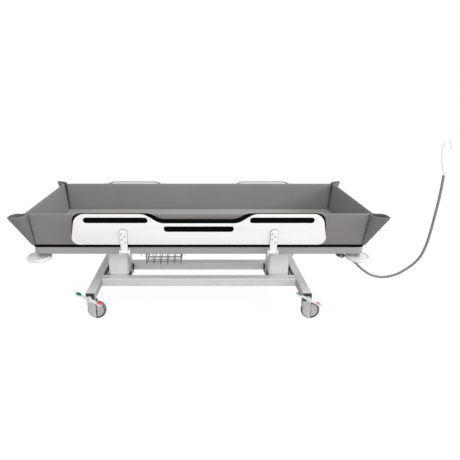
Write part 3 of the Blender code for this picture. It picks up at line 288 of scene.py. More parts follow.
def rounded(corners, steps=8):
    """Points round a polygon whose corners (x, y, radius) become arcs."""
    points = []
    share = 0.49    # of a side that one arc may take
    for index, (x, y, radius) in enumerate(corners):
        here = Vector((x, y))
        back = Vector(corners[index - 1][:2]) - here
        ahead = Vector(corners[(index + 1) % len(corners)][:2]) - here
        if radius <= 0.0:
            points.append(here)
            continue
        half = back.angle(ahead) / 2
        reach = min(radius / math.tan(half), share * back.length, share * ahead.length)
        radius = reach * math.tan(half)
        middle = (back.normalized() + ahead.normalized()).normalized()
        centre = here + middle * (radius / math.sin(half))
        first = here + back.normalized() * reach - centre
        last = here + ahead.normalized() * reach - centre
        turn = math.atan2(first.x * last.y - first.y * last.x, first.dot(last))
        for step in range(steps + 1):
            angle = turn * step / steps
            cosine, sine = math.cos(angle), math.sin(angle)
            points.append(centre + Vector((first.x * cosine - first.y * sine,
                                           first.x * sine + first.y * cosine)))
    return points


def rectangle(length, width, radius):
    x, y = length / 2, width / 2
    return [(-x, -y, radius), (x, -y, radius), (x, y, radius), (-x, y, radius)]


def clean_mesh(name, bm, angle=35.0):
    bmesh.ops.remove_doubles(bm, verts=bm.verts, dist=0.000004)
    bmesh.ops.recalc_face_normals(bm, faces=bm.faces)
    mesh = bpy.data.meshes.new(name)
    bm.to_mesh(mesh)
    bm.free()
    mesh.shade_smooth()
    mesh.set_sharp_from_angle(angle=math.radians(angle))
    return mesh


def put(name, mesh, body, replaces=()):
    """Add a painted mesh to the scene, on its CAD body and in place of the nodes named."""
    piece = add_object(name, mesh)
    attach(piece, body)
    if replaces:
        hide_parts(*replaces)
    return piece


def plate(name, outlines, thickness, bevel, rounds):
    """A flat plate about the XY plane with softened edges; later outlines are holes."""
    curve = bpy.data.curves.new(name, "CURVE")
    curve.dimensions = "2D"
    curve.fill_mode = "BOTH"
    curve.extrude = thickness / 2 - bevel
    curve.bevel_depth = bevel
    curve.bevel_resolution = rounds
    curve.offset = -bevel
    for number, outline in enumerate(outlines):
        points = list(outline)
        area = sum(a[0] * b[1] - b[0] * a[1] for a, b in zip(points, points[1:] + points[:1]))
        if (area > 0) != (number > 0):
            points.reverse()
        spline = curve.splines.new("POLY")
        spline.points.add(len(points) - 1)
        for point, (x, y) in zip(spline.points, points):
            point.co = (x, y, 0.0, 1.0)
        spline.use_cyclic_u = True
    source = add_object(name, curve)
    graph = bpy.context.evaluated_depsgraph_get()
    mesh = bpy.data.meshes.new_from_object(source.evaluated_get(graph))
    bpy.data.objects.remove(source)
    bm = bmesh.new()
    bm.from_mesh(mesh)
    bpy.data.meshes.remove(mesh)
    return clean_mesh(name, bm, 40.0)


def lathe(name, profile, steps):
    """A closed profile of (radius, height) turned about Z."""
    bm = bmesh.new()
    rings = []
    for step in range(steps):
        angle = 2 * math.pi * step / steps
        x, y = math.cos(angle), math.sin(angle)
        rings.append([bm.verts.new((r * x, r * y, z)) for r, z in profile])
    for first, second in zip(rings, rings[1:] + rings[:1]):
        for i in range(len(profile)):
            j = (i + 1) % len(profile)
            if profile[i][0] > 0.0 or profile[j][0] > 0.0:
                bm.faces.new((first[i], first[j], second[j], second[i]))
    return clean_mesh(name, bm, 32.0)


def frames_along(path):
    """Places along a path with side and up vectors that don't twist."""
    side = None
    for i, here in enumerate(path):
        before, after = path[max(i - 1, 0)], path[min(i + 1, len(path) - 1)]
        tangent = (after - before).normalized()
        if side is None:
            side = Vector((0.0, 1.0, 0.0)) if abs(tangent.y) < 0.9 else Vector((1.0, 0.0, 0.0))
        side = (side - tangent * side.dot(tangent)).normalized()
        yield here, side, tangent.cross(side)


def sweep(path, radii, sides):
    """A closed round tube along a path with a radius at each point."""
    bm = bmesh.new()
    rings = []
    turns = [2 * math.pi * k / sides for k in range(sides)]
    for (here, side, up), radius in zip(frames_along(path), radii):
        rings.append([bm.verts.new(here + side * (radius * math.cos(turn))
                                   + up * (radius * math.sin(turn))) for turn in turns])
    for low, high in zip(rings, rings[1:]):
        for k in range(sides):
            bm.faces.new((low[k - 1], low[k], high[k], high[k - 1]))
    bm.faces.new(rings[0])
    bm.faces.new(rings[-1])
    bmesh.ops.recalc_face_normals(bm, faces=bm.faces)
    return bm


def wire(name, path, radius, sides):
    return clean_mesh(name, sweep(path, [radius] * len(path), sides))


def joined(name, meshes):
    """One mesh from several, each keeping its own materials."""
    bm = bmesh.new()
    materials = []
    for mesh in meshes:
        numbers = []
        for material in mesh.materials:
            if material not in materials:
                materials.append(material)
            numbers.append(materials.index(material))
        before = len(bm.faces)
        bm.from_mesh(mesh)
        bm.faces.ensure_lookup_table()
        for face in bm.faces[before:]:
            face.material_index = numbers[min(face.material_index, len(numbers) - 1)]
    result = bpy.data.meshes.new(name)
    bm.to_mesh(result)
    bm.free()
    for material in materials:
        result.materials.append(material)
    result.set_sharp_from_angle(angle=math.radians(35.0))
    return result


def with_paints(mesh, *materials):
    """Materials for a mesh whose faces know their number already."""
    for material in materials:
        mesh.materials.append(M[material].material)
    return mesh


def painted(mesh, *materials):
    """New materials for a mesh; all its faces get the first."""
    mesh.materials.clear()
    return with_paints(mesh, *materials)


def painted_by(mesh, first, second, choose):
    """Give the faces for which choose(centre, normal) holds the second material."""
    painted(mesh, first, second)
    for face in mesh.polygons:
        face.material_index = int(choose(face.center, face.normal))
    return mesh


def placed(mesh, matrix):
    mesh.transform(matrix)
    return mesh


def moved(mesh, x=0.0, y=0.0, z=0.0):
    return placed(mesh, Matrix.Translation((x, y, z)))


def quarter_turn(axis):
    return Matrix.Rotation(math.pi / 2, 4, axis)


def cut(name, mesh, tools, angle=35.0):
    """Take other meshes out of a mesh and return the result as a clean mesh."""
    item = add_object(name, mesh)
    helpers = []
    for tool in tools:
        helper = add_object(name + "_tool", tool)
        modifier = item.modifiers.new("cut", "BOOLEAN")
        modifier.operation = "DIFFERENCE"
        modifier.object = helper
        helpers.append(helper)
    graph = bpy.context.evaluated_depsgraph_get()
    result = bpy.data.meshes.new_from_object(item.evaluated_get(graph))
    for helper in helpers + [item]:
        bpy.data.objects.remove(helper)
    result.shade_smooth()
    result.set_sharp_from_angle(angle=math.radians(angle))
    return result


def smooth_route(points, spacing):
    """Evenly spaced points on a smooth curve through the route's own points."""
    dense, parts = [], 12
    for i in range(len(points) - 1):
        p0 = Vector(points[max(i - 1, 0)])
        p1, p2 = Vector(points[i]), Vector(points[i + 1])
        p3 = Vector(points[min(i + 2, len(points) - 1)])
        for step in range(parts):
            t = step / parts
            dense.append(0.5 * (2 * p1 + (p2 - p0) * t + (2 * p0 - 5 * p1 + 4 * p2 - p3) * t * t
                                + (3 * p1 - p0 - 3 * p2 + p3) * t ** 3))
    dense.append(Vector(points[-1]))
    total = sum((b - a).length for a, b in zip(dense, dense[1:]))
    count = max(2, round(total / spacing))
    route = [dense[0]]
    walked, target = 0.0, total / count
    for a, b in zip(dense, dense[1:]):
        length = (b - a).length
        while walked + length >= target and len(route) < count:
            route.append(a + (b - a) * ((target - walked) / length))
            target += total / count
        walked += length
    route.append(dense[-1])
    return route


# Hose, up to its hooked end pipe

OUTLET_Y = -0.270
HOSE_RADIUS = 0.0085
RIB_PITCH, RIB_DEPTH, RIB_SHAPE = 0.0046, 0.0013, 0.6
# faces sunk deeper than GROOVE_DEPTH below the ribs' tops are painted dark, as shade in the
# grooves
GROOVE_DEPTH = 0.0007                     # deeper than this is painted as a groove
HOSE_ROUTE = (
    (0.9643, 0.4300), (0.973, 0.4300), (0.990, 0.4220), (1.016, 0.4010), (1.050, 0.3770),
    (1.084, 0.3440), (1.120, 0.3150), (1.162, 0.2890), (1.205, 0.2760), (1.250, 0.2715),
    (1.297, 0.2790), (1.342, 0.2950), (1.388, 0.3250), (1.438, 0.3670), (1.478, 0.4230),
    (1.503, 0.4990), (1.517, 0.5850), (1.527, 0.6850), (1.536, 0.7860), (1.541, 0.8760),
    (1.5422, 0.9300), (1.5422, 0.9780),
)


def make_hose():
    places = [(x, OUTLET_Y, z) for x, z in HOSE_ROUTE]
    route = [Vector(places[0])] + smooth_route(places[1:], 0.0011)
    radii, walked = [], 0.0
    for i, point in enumerate(route):
        walked += (point - route[i - 1]).length if i else 0.0
        wave = 0.5 + 0.5 * math.cos(2 * math.pi * walked / RIB_PITCH)
        radii.append(HOSE_RADIUS - RIB_DEPTH * (1.0 - wave ** RIB_SHAPE))
    bm = sweep(route, radii, 18)
    for face in bm.faces:
        centre = face.calc_center_median()
        near = min(route, key=lambda p: (p - centre).length_squared)
        edge = max((vert.co - near).length for vert in face.verts)
        # groove faces get the dark painted shade
        face.material_index = 0 if edge > HOSE_RADIUS - GROOVE_DEPTH else 1
    mesh = bpy.data.meshes.new("drain_hose_ribbed")
    bm.to_mesh(mesh)
    bm.free()
    mesh.shade_smooth()
    hose = put("drain_hose_ribbed", with_paints(mesh, "rib", "groove"), "bed", ["drain_hose"])


# Tub liner

# FOOT and RIM are the outer half length and half width of the tub, below and above.
FOOT = (1.056, 0.357)
RIM = (1.075, 0.3805)
TUB_LOW, TUB_HIGH = 0.5438, 0.7593
WALL, GUSSET, GAP = 0.014, 0.015, 0.0006
END_RISE, END_HALF = 0.004, 0.004         # extra height and half thickness of an end's rim
PANEL_PITCH, PANEL_EDGE, SIDE_ROLL = 0.02, 0.0055, 0.016
CROWN, CROWN_FADE = 0.0010, 0.03
FLOOR_DEPTH, DRAIN_X, DRAIN_RADIUS = 0.013, 0.918, 0.0288


def grid_steps(length, edge):
    """Places from 0 to 1 along a side, closer together near both ends."""
    near = [edge * f for f in (0.0, 0.08, 0.3, 0.62, 1.0)]
    count = max(2, round((length - 2 * edge) / PANEL_PITCH))
    middle = [edge + (length - 2 * edge) * i / count for i in range(1, count)]
    return [s / length for s in near + middle + [length - e for e in reversed(near)]]


def padded_panel(name, outer, inner, roll=PANEL_EDGE):
    """A stuffed panel between an outer and an inner quad, given as low, low, high, high."""
    outer = [Vector(p) for p in outer]
    inner = [Vector(p) for p in inner]

    def blend(quad, u, v):
        low = quad[0].lerp(quad[1], u)
        return low.lerp(quad[3].lerp(quad[2], u), v)

    wide = max((outer[1] - outer[0]).length, (outer[2] - outer[3]).length)
    tall = max((outer[3] - outer[0]).length, (outer[2] - outer[1]).length)
    bm = bmesh.new()
    for sign in (1.0, -1.0):
        sheet = []
        for v in grid_steps(tall, PANEL_EDGE):
            row = []
            for u in grid_steps(wide, roll):
                a, b = blend(outer, u, v), blend(inner, u, v)
                middle, half = (a + b) / 2, (a - b) / 2
                across, along = (u * wide, (1 - u) * wide), (v * tall, (1 - v) * tall)
                rise = min(1.0, *(s / roll for s in across), *(s / PANEL_EDGE for s in along))
                full = math.sqrt(max(0.0, 1.0 - (1.0 - rise) ** 2))
                inside = min(across + along)
                swell = CROWN * (1.0 - math.exp(-inside / CROWN_FADE)) / half.length
                row.append(bm.verts.new(middle + half * (sign * (full + swell * full))))
            sheet.append(row)
        for low, high in zip(sheet, sheet[1:]):
            for k in range(1, len(low)):
                bm.faces.new((low[k - 1], low[k], high[k], high[k - 1]))
    return clean_mesh(name, bm, 60.0)


def wall_face(low, high, foot, rim, top):
    """A face of a leaning wall: half lengths below and above, and where both edges stand."""
    return [(-low, foot, TUB_LOW), (low, foot, TUB_LOW), (high, rim, top), (-high, rim, top)]


def side_panel(name, side):
    low, high = FOOT[0] - WALL - GAP, RIM[0] - GUSSET - GAP
    outer = wall_face(low, high, side * FOOT[1], side * RIM[1], TUB_HIGH)
    inner = wall_face(low, high, side * (FOOT[1] - WALL), side * (RIM[1] - WALL), TUB_HIGH)
    return padded_panel(name, outer, inner, SIDE_ROLL)


def end_wall(name, side):
    low, high, top = FOOT[1] - WALL - GAP, RIM[1] - GUSSET - GAP, TUB_HIGH + END_RISE
    faces = []
    for foot, rim in ((FOOT[0], RIM[0] + END_HALF), (FOOT[0] - WALL, RIM[0] - END_HALF)):
        face = wall_face(low, high, side * foot, side * rim, top)
        faces.append([(x, y, z) for y, x, z in face])
    return padded_panel(name, *faces)


# Rim of a folded corner: distance past the tub's corner along X and Y, and extra height.
POCKET_RIM = ((-0.0150, 0.000, 0.000), (-0.0165, 0.014, -0.001), (-0.0060, 0.035, -0.002),
              (0.0120, 0.056, -0.002), (0.0380, 0.070, -0.001), (0.0620, 0.0755, 0.000),
              (0.0755, 0.0755, 0.001), (0.0770, 0.060, 0.003), (0.0730, 0.038, 0.005),
              (0.0600, 0.018, 0.006), (0.0420, 0.005, 0.005), (0.0200, -0.005, 0.001),
              (0.0030, -0.015, 0.003))
POCKET_BASE = ((-0.0140, 0.0), (0.0040, 0.0040), (0.0, -0.0140))
POCKET_LEAF, LIP_STEPS = 0.0062, 6


def corner_pocket(name, side, end):
    """The corner of the liner, folded outward into an open pocket with rounded lips."""
    rim = smooth_route(POCKET_RIM, 0.004)
    last = len(rim) - 1
    tip = max(range(last + 1), key=lambda i: rim[i].x + rim[i].y)
    first, middle, final = (Vector(p) for p in POCKET_BASE)
    base = [first.lerp(middle, i / tip) if i <= tip
            else middle.lerp(final, (i - tip) / (last - tip)) for i in range(last + 1)]
    levels = [0.0, 0.04, 0.12] + [0.12 + 0.88 * i / 9 for i in range(1, 10)]

    def ring(level):
        corner = Vector(FOOT).lerp(Vector(RIM), level)
        plan = [base[i].lerp(rim[i].xy, level) for i in range(last + 1)]
        thick = POCKET_LEAF * min(1.0, 0.15 + 1.6 * level)
        outer, inner = [], []
        for i, here in enumerate(plan):
            ahead = (plan[min(i + 1, last)] - plan[max(i - 1, 0)]).normalized()
            z = TUB_LOW + level * (TUB_HIGH - POCKET_LEAF / 2 + rim[i].z - TUB_LOW)
            inward = here + Vector((ahead.y, -ahead.x)) * thick
            for place, rows in ((here, outer), (inward, inner)):
                rows.append(Vector((side * (corner.x + place.x), end * (corner.y + place.y), z)))
        return outer, inner

    rings = [ring(level) for level in levels]
    outer, inner = rings[-1]
    lip = []
    for step in range(1, LIP_STEPS):
        angle = math.pi * step / LIP_STEPS
        row = []
        for a, b in zip(outer, inner):
            centre, half = (a + b) / 2, (a - b) / 2
            row.append(centre + half * math.cos(angle)
                       + Vector((0.0, 0.0, half.length * math.sin(angle))))
        lip.append(row)
    rows = [r[0] for r in rings] + lip + [r[1] for r in reversed(rings)]
    bm = bmesh.new()
    grid = [[bm.verts.new(p) for p in row] for row in rows]
    count = len(rings)
    for r, (low, high) in enumerate(zip(grid, grid[1:] + grid[:1])):
        for k in range(1, last + 1):
            face = bm.faces.new((low[k - 1], low[k], high[k], high[k - 1]))
            # the rows inside the lip get the darker vinyl, painted as shade in the pocket
            face.material_index = 1 if r >= count + LIP_STEPS // 2 else 0
    for k in (0, last):
        for i in range(count - 1):
            bm.faces.new((grid[i][k], grid[i + 1][k], grid[-2 - i][k], grid[-1 - i][k]))
        bm.faces.new([grid[i][k] for i in range(count - 1, count + LIP_STEPS)])
    return with_paints(clean_mesh(name, bm, 60.0), "fold", "inside")


def end_meshes(name, side):
    pockets = [corner_pocket(name + "_pocket", side, end) for end in (-1, 1)]
    return [painted(end_wall(name + "_wall", side), "vinyl")] + pockets


def tub_floor():
    x, y = FOOT[0] - WALL - GAP, FOOT[1] - WALL - GAP
    turns = [2 * math.pi * i / 48 for i in range(48)]
    drain = [Vector((DRAIN_X + DRAIN_RADIUS * math.cos(a), DRAIN_RADIUS * math.sin(a)))
             for a in turns]
    outline = rounded(rectangle(2 * x, 2 * y, 0.004))
    base = plate("tub_floor", [outline, drain], FLOOR_DEPTH, 0.004, 3)
    # the lighter floor vinyl is painted light from above
    return painted(moved(base, z=TUB_LOW + FLOOR_DEPTH / 2), "pad")


def make_tub():
    walls = []
    for word, side in ENDS:
        node = "tub_side_" + word
        walls.append((node, painted(side_panel(node + "_panel", side), "vinyl")))
    for word, side in SIDES:
        node = "tub_end_" + word
        walls.append((node, joined(node + "_panel", end_meshes(node, side))))
    for node, mesh in walls:
        piece = put(node + "_panel", mesh, "bed", [node])
    piece = put("tub_floor", tub_floor(), "bed", ["tub_base"])


# Castors

WHEEL_RADIUS, TRAIL, LEG_X, CASTOR_Y = 0.0625, 0.033, 0.7195, 0.330
HOOD_TOP, HOOD_RADIUS = 0.1369, 0.055
# the hood's rear edge behind HOOD_EDGE is painted dark, as shade
HOOD_EDGE = -0.0035                       # behind this the hood shows its dark rear edge


def upright(mesh, x, y, z):
    """Turn a piece drawn in the XY plane so that it stands in the XZ plane."""
    return placed(mesh, Matrix.Translation((x, y, z)) @ quarter_turn("X"))


def disc(name, radius, depth, steps, edge=0.0006):
    half = depth / 2
    return lathe(name, [(0.0, half), (radius - edge, half), (radius, half - edge),
                        (radius, edge - half), (radius - edge, -half), (0.0, -half)], steps)


def rounded_profile(corners, steps):
    return [(p.x, p.y) for p in rounded(corners, steps)]


def both_sides(half):
    """A closed profile of (radius, height) from the half of it above the middle."""
    return half + [(r, -z) for r, z in reversed(half)]


def hood_mesh(name):
    top, front = HOOD_TOP - WHEEL_RADIUS, -TRAIL - 0.026
    turns = [math.radians(180 + 90 * i / 16) for i in range(17)]
    arc = [Vector((HOOD_RADIUS * math.cos(a), HOOD_RADIUS * math.sin(a))) for a in turns]
    crown = rounded([(0.0012, -HOOD_RADIUS, 0.0), (0.0012, top, 0.006), (front, top, 0.018),
                     (front, top * 0.45, 0.02)], 8)
    body = plate(name, [arc + crown], 0.046, 0.0055, 5)
    slot = disc("slot", WHEEL_RADIUS + 0.0025, 0.031, 96)
    bore = upright(disc("bore", 0.0088, 0.024, 32), -TRAIL, top, 0.0)
    return cut(name, body, [slot, bore], angle=40.0)


def make_castors():
    rim, top = WHEEL_RADIUS - 0.0142, WHEEL_RADIUS
    seat, wall = rim + 0.0003, rim + 0.0068
    wheel_profile = both_sides([
        (0.0053, 0.0145), (0.012, 0.0145), (0.0145, 0.0118), (0.019, 0.0112),
        (0.024, 0.0118), (rim - 0.006, 0.0122), (rim - 0.003, 0.0122), (rim, 0.0112)])
    tyre_profile = both_sides([
        (seat, 0.0112), (seat + 0.0012, 0.0128), (seat + 0.003, 0.0140),
        (top - 0.0080, 0.0145), (top - 0.0050, 0.0140), (top - 0.0022, 0.0118),
        (top - 0.0008, 0.0085), (top, 0.0040)])
    hood = painted_by(hood_mesh("hood"), "castor", "wall", lambda c, n: c.x > HOOD_EDGE)
    wheel = painted(lathe("wheel", wheel_profile, 72), "hub")
    # the tyre's ring nearer the axle than wall is painted dark, as shade in the groove by the
    # disc
    tyre = painted_by(lathe("tyre", tyre_profile, 96), "tyre", "wall",
                      lambda c, n: math.hypot(c.x, c.y) < wall)
    for tag, sx, sy in CORNERS:
        hub = (sx * LEG_X + TRAIL, sy * CASTOR_Y, WHEEL_RADIUS)
        mesh = upright(hood.copy(), *hub)
        piece = put("castor_shell_" + tag, mesh, "castor_" + tag, ["castor_hood_" + tag])
        mesh = upright(wheel.copy(), *hub)
        piece = put("castor_disc_" + tag, mesh, "wheel_" + tag, ["castor_wheel_" + tag])
        mesh = upright(tyre.copy(), *hub)
        piece = put("castor_tread_" + tag, mesh, "wheel_" + tag, ["castor_tyre_" + tag])


# Bumper rollers

ROLLER_X, ROLLER_Y = 1.035, 0.327


def make_bumpers():
    top, bottom, bore, out = 0.4583, 0.4363, 0.0083, 0.0765
    step = top - 0.005
    profile = rounded_profile([(bore, step, 0.0), (out - 0.0125, step, 0.003),
                               (out - 0.0100, top, 0.0015), (out, top - 0.001, 0.006),
                               (out, bottom, 0.006), (bore, bottom, 0.0)], 6)
    for tag, sx, sy in CORNERS:
        mesh = moved(lathe("roller", profile, 96), sx * ROLLER_X, sy * ROLLER_Y)
        piece = put("roller_disc_" + tag, painted(mesh, "disc"), "roller_" + tag,
                    ["bumper_" + tag])


# Side rails. The board is drawn in its own plane, with Y up from the pivot.

LEAN, PIVOT_Y, PIVOT_Z, ARM_X = math.radians(8.6), 0.377, 0.505, 0.470
LIFT, HEIGHT, DIP = 0.052, 0.2112, 0.0634
TOP = LIFT + HEIGHT
HALF_FOOT, HALF_TOP, DIP_OUTER, DIP_INNER = 0.806, 0.761, 0.336, 0.243


def rail_place(side, x=0.0):
    turn = 0.0 if side < 0 else math.pi
    return (Matrix.Translation((x, side * PIVOT_Y, PIVOT_Z)) @ Matrix.Rotation(turn, 4, "Z")
            @ Matrix.Rotation(math.pi / 2 + LEAN, 4, "X"))


def turned_over(corners):
    return [(-x, y, r) for x, y, r in reversed(corners)]


def symmetric(corners, steps):
    """A rounded outline from its right half, listed from the outside in."""
    return rounded(corners + turned_over(corners), steps)


def board_outlines():
    outer = symmetric([(HALF_FOOT, LIFT, 0.045), (HALF_TOP, TOP, 0.070),
                       (DIP_OUTER, TOP, 0.100), (DIP_INNER, TOP - DIP, 0.100)], 14)
    high, low, end = TOP - 0.0195, TOP - 0.0560, 0.0182
    wing = [(0.709, low, end), (0.709, high, end), (0.318, high, end), (0.312, low, end)]
    under = TOP - DIP - 0.0178
    middle = [(0.2155, under - 0.0365, 0.024), (0.2155, under, 0.011)]
    return [outer, rounded(wing, 12), rounded(turned_over(wing), 12), symmetric(middle, 12)]


def backing_outline():
    top, dip = TOP + 0.0035, TOP - DIP + 0.028
    return symmetric([(HALF_FOOT, LIFT, 0.045), (HALF_TOP + 0.016, top, 0.060),
                      (DIP_OUTER - 0.040, top, 0.100), (DIP_INNER - 0.006, dip, 0.100)], 14)


def lip_outlines(width=0.0065):
    """A raised lip that runs round the inner face of the backing, a little inside its edge,
    painted grey as the shade along that edge.
    """
    top, dip = TOP + 0.003, TOP - DIP + 0.008
    return [symmetric([(HALF_FOOT - 0.012 - inset, LIFT + 0.010 + inset, 0.045),
                       (HALF_TOP - 0.026 - inset, top - inset, 0.080),
                       (DIP_OUTER - 0.004 + 0.4 * inset, top - inset, 0.100),
                       (DIP_INNER - 0.004 + 0.4 * inset, dip - inset, 0.090)], 14)
            for inset in (0.0, width)]


def in_slot(centre, normal):
    """Whether a face is a wall of a grip slot, which shows the black core of the board."""
    x, y = abs(centre.x), centre.y
    inside = x < 0.722 and LIFT + 0.06 < y < TOP - 0.016 and abs(normal.z) < 0.75
    wing = x > 0.305 and y > TOP - 0.058
    middle = x < 0.225 and y < TOP - DIP - 0.014
    return inside and (wing or middle)


def screw(u, v, lift, radius):
    """A domed screw head with its socket painted dark as shade, standing on a face at the given
    height.
    """
    head = lathe("head", rounded_profile([(0.0024, 0.0006, 0.0), (0.0026, 0.0018, 0.0004),
                                          (radius * 0.72, 0.0017, 0.001),
                                          (radius, 0.0004, 0.0006), (radius, -0.0002, 0.0),
                                          (0.0024, -0.0002, 0.0)], 3), 32)
    socket = lathe("socket", [(0.0, 0.0008), (0.0025, 0.0008), (0.0025, 0.0001),
                              (0.0, 0.0001)], 6)
    # the socket gets the grey painted shade
    return [moved(painted(head, "screw"), u, v, lift), moved(painted(socket, "lip"), u, v, lift)]


def make_arm(name, side, x, body, node):
    top = LIFT + 0.115
    outline = rounded([(-0.022, -0.012, 0.005), (0.022, -0.012, 0.005), (0.026, top, 0.0252),
                       (-0.026, top, 0.0252)], 12)
    blade = moved(plate("blade", [outline], 0.007, 0.0030, 4), z=0.0038)
    # side faces get the darker grey, painted as the shade of the gap round the blade
    painted_by(blade, "arm", "arm_edge", lambda c, n: abs(n.z) < 0.985)
    across = quarter_turn("Y")
    knuckle = placed(disc("knuckle", 0.0100, 0.0452, 40, 0.001), across)
    bore = placed(disc("bore", 0.0063, 0.08, 32), across)
    parts = [blade, painted(cut("knuckle", knuckle, [bore]), "arm")]
    for u, v in ((-0.0105, 0.1325), (0.0085, 0.1135), (-0.0105, 0.0930), (0.0095, 0.0715)):
        parts += screw(u, v, 0.0073, 0.0060)
    mesh = placed(joined(name, parts), rail_place(side, x))
    put(name, mesh, body, [node])


def make_rails():
    for word, side in ENDS:
        body = "side_rail_" + word
        board = moved(plate("board", board_outlines(), 0.012, 0.0022, 4), z=-0.006)
        painted_by(board, "white", "black", in_slot)
        name = "board_panel_" + word
        mesh = placed(board, rail_place(side))
        put(name, mesh, body, ["rail_board_" + word])
        core = moved(plate("core", [backing_outline()], 0.008, 0.0034, 3), z=-0.0163)
        painted_by(core, "black", "white", lambda c, n: n.z < -0.05)
        lip = moved(plate("lip", lip_outlines(), 0.0014, 0.0004, 2), z=-0.0208)
        name = "board_core_" + word
        # the lip is painted grey as shade along the board's edge
        mesh = placed(joined("core", [core, painted(lip, "lip")]), rail_place(side))
        put(name, mesh, body, ["rail_backing_" + word])
        for hand, sx in SIDES:
            tag = word + "_" + hand
            make_arm("arm_blade_" + tag, side, sx * ARM_X, body, "rail_arm_" + tag)


# Brake pedals

TILT, BRAKE_Z, PEDAL_Y, TOE = math.radians(28.0), 0.1729, 0.390, 0.073


def pedal_outline():
    lower = [(0.0, -0.008, 0.02), (0.041, -0.005, 0.02), (0.086, -0.004, 0.0038)]
    return rounded(turned_over(lower) + lower[1:]
                   + [(x, -y, r) for x, y, r in reversed(lower)]
                   + [(-x, -y, r) for x, y, r in lower[1:]], 6)


def oval(name, length, width, top, bottom, edge, paint):
    """A flat oval button with a rolled edge, about the XY plane."""
    mesh = lathe(name, rounded_profile([(0.0, top, 0.0), (0.5, top, edge), (0.5, bottom, edge),
                                        (0.0, bottom, 0.0)], 6), 56)
    mesh.transform(Matrix.Diagonal((length, width, 1.0, 1.0)))
    return painted(mesh, paint)


def rocker(end):
    """The pedal's rocker on one end of its bar, with its hub and bolt; the bar lies along Z."""
    shift = Matrix.Translation((0.0, 0.0, -end * PEDAL_Y))
    arm = placed(plate("arm", [pedal_outline()], 0.021, 0.0022, 3), shift)
    hub = lathe("hub", rounded_profile([(0.0, 0.0142, 0.0), (0.0118, 0.0142, 0.0),
                                        (0.0125, 0.0132, 0.0), (0.0155, 0.0138, 0.001),
                                        (0.0155, -0.0138, 0.001), (0.0, -0.0138, 0.0)], 4), 56)
    placed(hub, shift @ Matrix.Scale(-end, 4, (0.0, 0.0, 1.0)))
    if end > 0:
        hub.flip_normals()
    bolt = moved(disc("bolt", 0.0052, 0.002, 6), z=-end * (PEDAL_Y + 0.0148))
    return [painted(arm, "pedal"), painted(hub, "pedal"), painted(bolt, "steel")]


def make_pedals():
    stand = quarter_turn("X")
    for hand, sx in SIDES:
        parts = [painted(disc("bar", 0.0063, 2 * PEDAL_Y, 40), "steel")]
        for end in (-1, 1):
            parts += rocker(end)
        parts = [placed(part, stand) for part in parts]
        for end in (-1, 1):
            for toe, paint in ((-1, "green"), (1, "red")):
                for part in (oval("paddle", 0.045, 0.038, 0.0048, -0.0045, 0.004, "pedal"),
                             oval("pad", 0.035, 0.029, 0.0074, 0.0, 0.0025, paint)):
                    parts.append(moved(part, toe * TOE, end * PEDAL_Y))
        name = "pedal_bar_" + hand
        place = Matrix.Translation((sx * LEG_X, 0.0, BRAKE_Z)) @ Matrix.Rotation(TILT, 4, "Y")
        mesh = placed(joined(name, parts), place)
        put(name, mesh, "brake_" + hand, ["pedals_" + hand])


# Wire basket

WIRE, RIM_WIRE, WIRE_BEND, WIRE_SIDES = 0.0027, 0.0034, 0.012, 14


def round_bends(points, radius=0.010, steps=8):
    """A route through the points with an arc at each bend."""
    route = [points[0]]
    for before, here, after in zip(points, points[1:], points[2:]):
        back, ahead = (before - here).normalized(), (after - here).normalized()
        half = back.angle(ahead) / 2
        reach = radius / math.tan(half)
        centre = here + (back + ahead).normalized() * (radius / math.sin(half))
        start, end = here + back * reach - centre, here + ahead * reach - centre
        for step in range(steps + 1):
            route.append(centre + start.slerp(end, step / steps) * radius)
    route.append(points[-1])
    return route


def wire_loop(name, left, right, front, back, z, radius, sides):
    corners = [(left, front), (right, front), (right, back), (left, back)]
    path = [Vector((*p, z)) for p in rounded([(x, y, WIRE_BEND) for x, y in corners])]
    return wire(name, path + path[:2], radius, sides)


def make_basket():
    centre, front, width, top, depth = -0.231, -0.302, 0.320, 0.4734, 0.098
    back, floor = front + width, top - depth
    left, right, spread = centre - 0.135, centre + 0.135, 0.229
    floor_left, slope, taper = centre - 0.1145, 0.0205, 0.009
    layer, reach = 0.0042, RIM_WIRE + WIRE - 0.0012
    count, first_y, pitch_y = 6, front + 0.038, 0.045
    runs = []
    for i in range(count):
        x = floor_left + spread * i / (count - 1)
        runs.append([(x, front + reach, top), (x, front + taper, floor),
                     (x, back - taper, floor), (x, back - reach, top)])
    for j in range(count):
        y = first_y + pitch_y * j
        runs.append([(left + reach, y, top), (floor_left + layer, y, floor + layer),
                     (floor_left + spread - layer, y, floor + layer), (right - reach, y, top)])
    meshes = [wire("wire", round_bends([Vector(p) for p in run]), WIRE, WIRE_SIDES)
              for run in runs]
    drop = 0.046
    along, across = slope * drop / depth + reach, taper * drop / depth + reach
    meshes.append(wire_loop("band", left + along, right - along, front + across, back - across,
                            top - drop, WIRE, WIRE_SIDES))
    meshes.append(wire_loop("rim", left, right, front, back, top, RIM_WIRE, 16))
    mesh = joined("basket_wires", [painted(m, "wire") for m in meshes])
    put("basket_wires", mesh, "bed", ["basket"])


# Fixings

BOLT_X, BOLT_Y, BEAM_TOP = (0.672, 0.648), 0.155 - 0.0115, 0.199


def make_bolts():
    """Button-head bolts on top of both beams, beside the columns."""
    parts = []
    for sx in (-1, 1):
        for x in BOLT_X:
            for sy in (-1, 1):
                parts += screw(sx * x, sy * BOLT_Y, BEAM_TOP, 0.0080)
    mesh = joined("base_bolts", parts)
    put("base_bolts", mesh, "base")


# Plain CAD nodes that stay

